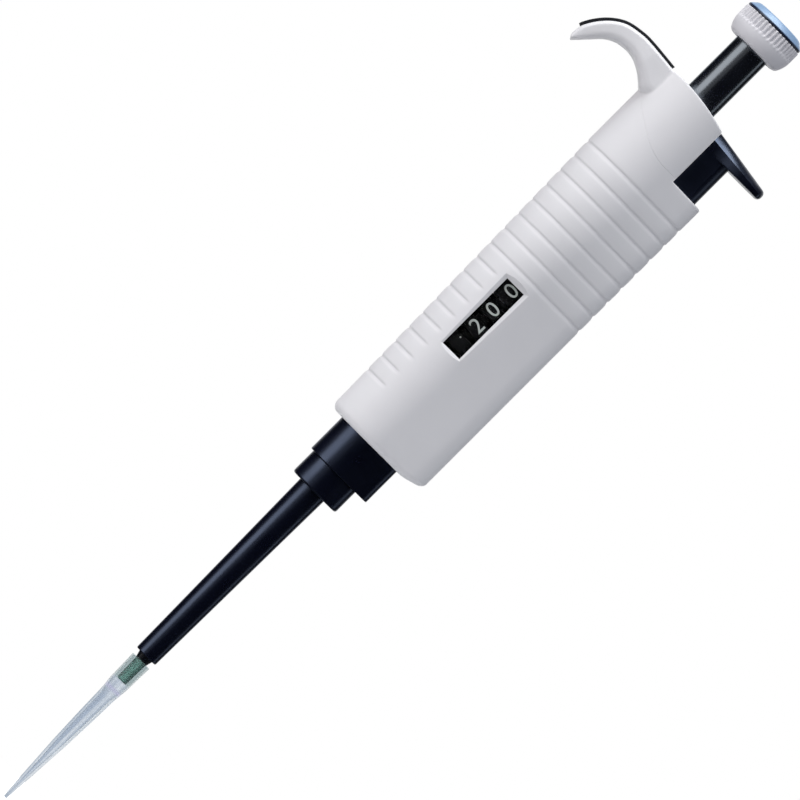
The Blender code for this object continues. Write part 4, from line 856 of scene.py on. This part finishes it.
def strip_rings(half, low, high, ease):
    """The strip along the crest, or the groove for it, narrower at both ends."""
    stations = list(zip(hook_inner, hook_crest))[STRIP_FROM:STRIP_TO]
    halves = [half * 0.8] + [half] * (len(stations) - 2) + [half * 0.8]
    rings = []
    for (foot, peak), w in zip(stations, halves):
        section = (
            (-w, low), (w, low), (w, high - ease), (w - ease, high), (0.0, high + 0.3 * ease),
            (-w + ease, high), (-w, high - ease),
        )
        rings.append(across_hook(peak, (peak - foot).normalized(), section))
    return rings


carve(cap, skinned(strip_rings(STRIP_HALF + STRIP_FIT, -STRIP_SUNK, STRIP_GROOVE_TOP, 0.0001)))
cap.data.materials.clear()
cap.data.materials.append(shell_paint)
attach(cap, "housing")
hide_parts("top_cap")

# Hook strip
# A slim strip of dark plastic let into the crest of the hook, from near its tip to the cap's
# top. It stands 0.9 mm proud, so that it shows from the side as a fine line.
STRIP_PROUD = 0.0009
STRIP_BED = 0.00005  # the gap under it
STRIP_EASE = 0.00015
strip_paint = moulded_plastic("strip_black", (0.006, 0.007, 0.010), 0.34, cloud=0.10, rubbed=0.05)
bm = skinned(strip_rings(STRIP_HALF, -STRIP_SUNK + STRIP_BED, STRIP_PROUD, STRIP_EASE))
strip = piece_of(bm, "strip", strip_paint)
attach(strip, "housing")
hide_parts("hook_strip")

# Window lens
# A clear moulded pane, let into the handle's wall behind the window's bevel. It is polished on
# both sides and eased at its edges.
LENS_EASE = 0.00012
lens_paint, tree, shader = new_paint("lens_clear")
smears = noise(tree, wired(tree, "TexCoord")["Object"], 260.0)
wire(tree, shader, {
    "Base Color": (0.96, 0.98, 0.98, 1.0), "Transmission Weight": 1.0, "IOR": 1.08,
    "Roughness": ranged(tree, smears, 0.0, 1.0, 0.01, 0.06),
})
bm = block(LENS_LOW, LENS_HIGH)
bmesh.ops.bevel(bm, geom=bm.edges[:], offset=LENS_EASE, segments=2, profile=0.5, affect="EDGES",
                material=-1)
lens = piece_of(bm, "lens", lens_paint)
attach(lens, "housing")
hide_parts("window_lens")

# Number wheels
# Four wheels of black plastic, one over the other behind the window. Each is printed in white
# with its ten digits, tops towards the hook, and the coarsest has a faint dot for zero.
WHEEL_R = 0.0094
WHEEL_RIM = 0.0041
TOP_RIM = 0.0052  # the units wheel has no pinion over it, so its rim is taller
WHEEL_OVER = 0.00025  # each black web reaches a little over the CAD's, against stray light
WHEEL_EASE = 0.00025
RIM_WALL = 0.0012
WEB_THICK = 0.0011
HUB_FOOT_R = 0.0052
HUB_TOP_R = 0.0069
HUB_BORE_R = 0.0041
DIGIT_RISE = 0.0005
TOP_DIGIT_RISE = 0.0008
BLANK_DOT = (0.0008, 0.0008)
BLANK_DOT_R = 0.00022
DIGIT_TALL = 0.0041
DIGIT_WIDE = 0.0025
ONE_WIDE = 0.55  # of the other digits' width
INK = 0.00004
INK_CUTS = 0.0004
WHEELS = (
    ("wheel_units", "volume_drive", 0), ("wheel_tens", "tens", 0),
    ("wheel_hundreds", "hundreds", 2), ("wheel_thousands", "thousands", None),
)
wheel_paint = moulded_plastic(
    "wheel_black", (0.003, 0.003, 0.004), 0.45, cloud=0.10, gloss=0.06, rubbed=0.03
)
# The white print is drawn mid grey: painted shade for its place deep behind the window.
shaded_ink_paint = moulded_plastic(
    "digit_white_painted_shade", (0.43, 0.45, 0.44), 0.55, cloud=0.06, gloss=0.1, rubbed=0.0
)


def flat_digit(text):
    """The digit as a flat mesh, centred, DIGIT_TALL high and DIGIT_WIDE across."""
    curve = bpy.data.curves.new("digit", "FONT")
    curve.body = text
    shown = placed("digit", curve)
    bm = bmesh.new()
    bm.from_mesh(worked_out(shown))
    bpy.data.objects.remove(shown)
    xs = [v.co.x for v in bm.verts]
    ys = [v.co.y for v in bm.verts]
    bmesh.ops.translate(bm, vec=(-(min(xs) + max(xs)) / 2, -(min(ys) + max(ys)) / 2, 0.0),
                        verts=bm.verts[:])
    wide = DIGIT_WIDE * (ONE_WIDE if text == "1" else 1.0)
    size = (wide / (max(xs) - min(xs)), DIGIT_TALL / (max(ys) - min(ys)), 1.0)
    bmesh.ops.scale(bm, vec=size, verts=bm.verts[:])
    return bm


def wrap_round(bm, turn, z):
    """Bends flat ink round the wheel: its right runs up the axis and its top goes towards -X."""
    cuts = int(DIGIT_TALL / INK_CUTS)
    for i in range(1, cuts):
        height = -DIGIT_TALL / 2 + DIGIT_TALL * i / cuts
        everything = bm.verts[:] + bm.edges[:] + bm.faces[:]
        bmesh.ops.bisect_plane(bm, geom=everything, plane_co=(0.0, height, 0.0),
                               plane_no=(0.0, 1.0, 0.0))
    for vert in bm.verts:
        angle = turn - vert.co.y / WHEEL_R
        radius = WHEEL_R + vert.co.z
        vert.co = (radius * math.sin(angle), -radius * math.cos(angle), z + vert.co.x)


for node, body, shown in WHEELS:
    low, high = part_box(node)[0][2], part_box(node)[1][2] + WHEEL_OVER
    rim_top = low + (TOP_RIM if node == "wheel_units" else WHEEL_RIM)
    rise = TOP_DIGIT_RISE if node == "wheel_units" else DIGIT_RISE
    web = rim_top - WEB_THICK
    rim = eased((
        (WHEEL_R, rim_top, WHEEL_EASE), (WHEEL_R, low, WHEEL_EASE), (WHEEL_R - RIM_WALL, low, 0.0),
        (WHEEL_R - RIM_WALL, web, 0.0), (HUB_FOOT_R, web, 0.0), (HUB_FOOT_R, low, 0.0),
        (HUB_BORE_R, low, 0.0), (HUB_BORE_R, high, 0.0), (HUB_TOP_R, high, 0.0),
        (HUB_TOP_R, rim_top, 0.0),
    ))
    wheel = piece_of(spun(rim, TURNED_STEPS), f"{body}_wheel", wheel_paint)
    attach(wheel, body)
    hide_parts(node)
    ink = bmesh.new()
    for k in range(10):
        value = ((shown or 0) - k) % 10
        if shown is None and value == 0:
            mark = bmesh.new()
            bmesh.ops.create_circle(mark, cap_ends=True, segments=16, radius=BLANK_DOT_R)
            bmesh.ops.translate(mark, vec=(*BLANK_DOT, 0.0), verts=mark.verts[:])
        else:
            mark = flat_digit(str(value))
        lifted = bmesh.ops.extrude_face_region(mark, geom=mark.faces[:])
        raised = [v for v in lifted["geom"] if isinstance(v, bmesh.types.BMVert)]
        bmesh.ops.translate(mark, vec=(0.0, 0.0, INK), verts=raised)
        wrap_round(mark, k * math.pi / 5, (low + rim_top) / 2 + rise)
        mark_mesh = mesh_of(mark, "mark")
        ink.from_mesh(mark_mesh)
        bpy.data.meshes.remove(mark_mesh)
    bmesh.ops.recalc_face_normals(ink, faces=ink.faces[:])
    digits = piece_of(ink, f"{body}_digits", shaded_ink_paint)
    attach(digits, body)

# Plunger
# A polished tube of black plastic between the cap and the knob, fixed into the knob's foot. It is
# the glossiest piece, and lamps draw long streaks down it.
PLUNGER_LOW, PLUNGER_HIGH = (corner[2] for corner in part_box("plunger_sleeve"))
PLUNGER_R = 0.00525
PLUNGER_BORE_R = PLUNGER_R - 0.0018
STREAK_SHEEN = (0.80, 0.90, 1.0)
plunger_paint = moulded_plastic(
    "plunger_black", (0.0002, 0.0002, 0.0036), 0.22, cloud=0.05, grain=0.0000005, rubbed=0.02,
    sheen_colour=STREAK_SHEEN, ior=3.0,
)
plunger = piece_of(spun(eased((
    (PLUNGER_R, PLUNGER_HIGH, 0.0003), (PLUNGER_R, PLUNGER_LOW, 0.0004),
    (PLUNGER_BORE_R, PLUNGER_LOW, 0.0002), (PLUNGER_BORE_R, PLUNGER_HIGH, 0.0002),
)), FINE_STEPS), "plunger_tube", plunger_paint)
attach(plunger, "knob_spindle")
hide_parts("plunger_sleeve")

# Knob
# Pale grey plastic with a rounded foot and a band of 44 fine flutes. The blue cap sits in a
# recess in its top.
KNOB_LOW, KNOB_HIGH = (corner[2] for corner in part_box("knob"))
KNOB_R = 0.0093
KNOB_FOOT_R = 0.0076
KNOB_RECESS_R = 0.0063
KNOB_RECESS = 0.0035
KNOB_FLOOR = KNOB_HIGH - KNOB_RECESS
KNOB_SOCKET_R = 0.00555  # the plunger's end sits in it
KNOB_SOCKET_TOP = KNOB_LOW + 0.00245
KNOB_BORE_R = 0.0028
FLUTES = 44
FLUTE_DEPTH = 0.00060
FLUTE_PITCH = 0.0003  # from level to level down the flutes
TOP_EDGE_POINTS = 9
FLUTES_LOW = KNOB_HIGH - 0.0036
knob_paint = moulded_plastic(
    "knob_grey", (0.640, 0.628, 0.650), 0.42, cloud=0.012, grain=0.000006, gloss=0.4, rubbed=0.12
)
knob_section = eased([
    (KNOB_R, KNOB_HIGH, 0.00025), (KNOB_R, KNOB_LOW + 0.0024, 0.0020),
    (KNOB_FOOT_R + 0.0002, KNOB_LOW, 0.0010), (KNOB_SOCKET_R, KNOB_LOW, 0.0),
    (KNOB_SOCKET_R, KNOB_SOCKET_TOP, 0.0), (KNOB_BORE_R, KNOB_SOCKET_TOP, 0.0),
    (KNOB_BORE_R, KNOB_FLOOR, 0.0), (KNOB_RECESS_R, KNOB_FLOOR, 0.0),
    (KNOB_RECESS_R, KNOB_HIGH, 0.0),
], 8)
flute_levels = [(KNOB_R, KNOB_HIGH - 0.0003 - i * FLUTE_PITCH) for i in range(1, 13)]
knob_section[TOP_EDGE_POINTS:TOP_EDGE_POINTS] = flute_levels
bm = spun(knob_section, FLUTES * 10)
for vert in bm.verts:
    radius = math.hypot(vert.co.x, vert.co.y)
    if radius < KNOB_R - 0.0005:
        continue
    wave = 0.5 - 0.5 * math.cos(FLUTES * math.atan2(vert.co.y, vert.co.x))
    depth = FLUTE_DEPTH * wave ** 1.5 * smooth_step(FLUTES_LOW, FLUTES_LOW + 0.0006, vert.co.z)
    vert.co.x *= 1 - depth / radius
    vert.co.y *= 1 - depth / radius
knob = piece_of(bm, "fluted_knob", knob_paint, 50.0)
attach(knob, "knob_spindle")
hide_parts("knob")

# Knob cap
# The blue disc that says which volume range this is. Its edge slopes to a flat top, and it snaps
# into the knob's recess.
CAP_DISC_LOW, CAP_DISC_HIGH = (corner[2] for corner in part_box("knob_cap"))
CAP_DISC_R = 0.00915
CAP_DISC_TOP_R = 0.00725
CAP_DISC_PLUG_R = 0.0060
CAP_DISC_FOOT = KNOB_HIGH + 0.0002
disc_paint = moulded_plastic(
    "disc_blue", (0.200, 0.300, 0.450), 0.36, cloud=0.05, grain=0.000002, rubbed=0.15,
    sheen_colour=STREAK_SHEEN, ior=1.9,
)
# Painted shade: below a line just over the knob's top, the disc's foot goes over to a dark navy
# where it sits in the knob.
coloured_below(disc_paint, (0.004, 0.010, 0.040), KNOB_HIGH + 0.0006, KNOB_HIGH + 0.0009)
disc = piece_of(spun(eased((
    (0.0, CAP_DISC_HIGH, 0.0), (CAP_DISC_TOP_R, CAP_DISC_HIGH, 0.0007),
    (CAP_DISC_R, KNOB_HIGH + 0.0008, 0.0003), (CAP_DISC_R, CAP_DISC_FOOT, 0.0002),
    (CAP_DISC_PLUG_R, CAP_DISC_FOOT, 0.0), (CAP_DISC_PLUG_R, CAP_DISC_LOW, 0.0003),
    (0.0, CAP_DISC_LOW, 0.0),
)), FINE_STEPS), "blue_disc", disc_paint)
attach(disc, "knob_spindle")
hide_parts("knob_cap")

# Ejector button
# Black plastic: a shank that runs down into the handle beside the cap, and an arm that slopes
# out to a rounded end for the thumb.
BUTTON_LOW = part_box("ejector_button")[0][2]
BUTTON_TOP = 0.2534
BUTTON_UNDER = 0.2477
BUTTON_END = 0.0288
BUTTON_END_TOP = 0.2504
BUTTON_END_EASE = 0.0011
BUTTON_EASE = 0.0005
BUTTON_ROUND = 0.0048  # the arm's last run, rounded for the thumb as seen from above
BUTTON_CROWN = 0.0026
BUTTON_GROWS = 0.0019  # wider than its shank on each side, for the thumb


def arm_section(x):
    """The arm's section at that X: flat below, eased at its lower edges, crowned for the thumb."""
    share = (x - SHANK_LEFT) / (BUTTON_END - SHANK_LEFT)
    half = SHANK_HALF + BUTTON_GROWS * smooth_step(0.1, 0.6, share)
    into_round = max(0.0, 1 - (BUTTON_END - x) / BUTTON_ROUND)
    half *= 0.40 + 0.60 * math.sqrt(1 - into_round ** 2)
    into_end = max(0.0, 1 - (BUTTON_END - x) / BUTTON_END_EASE)
    inset = BUTTON_END_EASE * (1 - math.sqrt(1 - min(0.9999, into_end ** 2)))
    low = BUTTON_UNDER + inset
    high = BUTTON_TOP - (BUTTON_TOP - BUTTON_END_TOP) * share - inset
    half -= inset
    ease = min(BUTTON_EASE, 0.3 * (high - low))
    crown = min(BUTTON_CROWN * (1 - 0.4 * share), 0.62 * (high - low))
    points = [(0.0, low)]
    for sine, cosine in quarter(4):
        points.append((half - ease * (1 - sine), low + ease * (1 - cosine)))
    for i in range(13):
        points.append((half * (1 - i / 12), high - crown * (1 - i / 12) ** 2))
    return points + [(-y, z) for y, z in reversed(points[1:-1])]


round_from = BUTTON_END - BUTTON_ROUND
arm_stations = [SHANK_LEFT + (round_from - SHANK_LEFT) * i / 12 for i in range(12)]
arm_stations += [round_from + (BUTTON_ROUND - BUTTON_END_EASE) * i / 10 for i in range(10)]
arm_stations += [BUTTON_END - BUTTON_END_EASE * (1 - sine) for sine, _ in quarter(8)]
bm = skinned([[(x, y, z) for y, z in arm_section(x)] for x in arm_stations])
button_paint = moulded_plastic("button_black", (0.0002, 0.0002, 0.0050), 0.30, **GLOSSY_BLACK)
button = piece_of(bm, "thumb_button", button_paint)
carve(button, prism(shank_outline(0.0), BUTTON_LOW, BUTTON_UNDER + 0.002), "UNION")
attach(button, "ejector")
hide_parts("ejector_button")

# Hidden steel
# The spindle, piston, pins and rod are ground or drawn steel, bright, with fine marks along their
# length. They stay as the frame has them.
DRAWN_MARKS = (6000.0, 6000.0, 250.0)
STEEL_DARK = (0.50, 0.51, 0.53)
STEEL_BRIGHT = (0.70, 0.71, 0.73)
steel_paint, tree, shader = new_paint("drawn_steel")
place = wired(tree, "TexCoord")["Object"]
drawn = noise(tree, wired(tree, "Mapping", {"Vector": place, "Scale": DRAWN_MARKS})["Vector"], 1.0)
wire(tree, shader, {
    "Base Color": mixed(tree, drawn, STEEL_DARK, STEEL_BRIGHT),
    "Roughness": ranged(tree, drawn, 0.0, 1.0, 0.20, 0.38), "Metallic": 1.0,
})


def dress(paint, *nodes):
    """Gives that paint to the pieces that stay as the frame has them."""
    for node in nodes:
        for part_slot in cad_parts[node].material_slots:
            part_slot.material = paint


dress(steel_paint, "spindle", "stop_pin", "piston", "pinion_shaft", "ejector_rod")

# Springs
# Three compression springs are coiled from steel wire, with their end turns closed.
SPRING_STATIONS = 28  # along one turn
WIRE_SIDES = 10
END_PITCH = 1.05  # of the wire, along the closed turn at each end
ENDS_TAKE = 3.1  # of the wire, the height of both closed ends
SPRINGS = (  # with each one's wire, its turns and its joint's travel
    ("main_spring", "stop_stage", "plunger_press", 0.0007, 7.0, 0.0126),
    ("blowout_spring", "housing", "blowout_press", 0.0011, 4.0, 0.0029),
    ("ejector_spring", "housing", "ejector_press", 0.0006, 8.0, 0.0085),
)
for node, body, joint, thick, turns, travel in SPRINGS:
    low, high = (Vector(corner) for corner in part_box(node))
    wire_r = thick / 2
    middle = (low + high) / 2
    mean_r = (high.y - low.y) / 2 - wire_r
    open_pitch = (high.z - low.z - ENDS_TAKE * thick) / (turns - 2)
    coils = []
    for i in range(int(turns * SPRING_STATIONS) + 1):
        turned = i / SPRING_STATIONS
        closed = min(turned, 1.0) + max(0.0, turned - turns + 1)
        z = low.z + wire_r + closed * END_PITCH * thick + (turned - closed) * open_pitch
        angle = 2 * math.pi * turned
        outwards = Vector((math.cos(angle), math.sin(angle), 0.0))
        centre = Vector((middle.x, middle.y, z)) + outwards * mean_r
        section = []
        for k in range(WIRE_SIDES):
            round_wire = 2 * math.pi * k / WIRE_SIDES
            upwards = Vector((0.0, 0.0, math.sin(round_wire)))
            section.append(centre + (outwards * math.cos(round_wire) + upwards) * wire_r)
        coils.append(section)
    wound = piece_of(skinned(coils), f"wound_{node}", steel_paint, 60.0)
    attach(wound, body)
    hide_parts(node)
    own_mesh(wound)

# Hidden brass
# The stop cup, seal retainer, drive sleeve and pinions are turned brass, with a warm, slightly
# dulled colour.
brass_paint = moulded_plastic("turned_brass", (0.72, 0.53, 0.22), 0.30, cloud=0.12, rubbed=0.2)
brass_paint.node_tree.nodes["Principled BSDF"].inputs["Metallic"].default_value = 1.0
dress(brass_paint, "stop_cup", "seal_retainer", "drive_sleeve", "pinion_tens", "pinion_hundreds",
      "pinion_thousands")

# Hidden mouldings
# White acetal for the socket, plates, bush, nut and seal, and black rubber for the two rings. The
# counter's frame is acetal painted black: painted shade that keeps the inside of the window dark.
# They are machined or moulded, and stay as the frame has them.
acetal_paint = moulded_plastic("acetal_white", (0.78, 0.78, 0.75), 0.45, cloud=0.02)
frame_painted_shade = moulded_plastic("counter_black_painted_shade", (0.004, 0.004, 0.005), 0.50, cloud=0.10, gloss=0.2)
rubber_paint = moulded_plastic("ring_rubber", (0.018, 0.018, 0.018), 0.75, cloud=0.15, gloss=0.3)
dress(acetal_paint, "nose_socket", "middle_plate", "upper_bearing", "plunger_bush", "volume_nut",
      "piston_seal")
dress(frame_painted_shade, "counter_frame")
dress(rubber_paint, "piston_o_ring", "friction_ring")
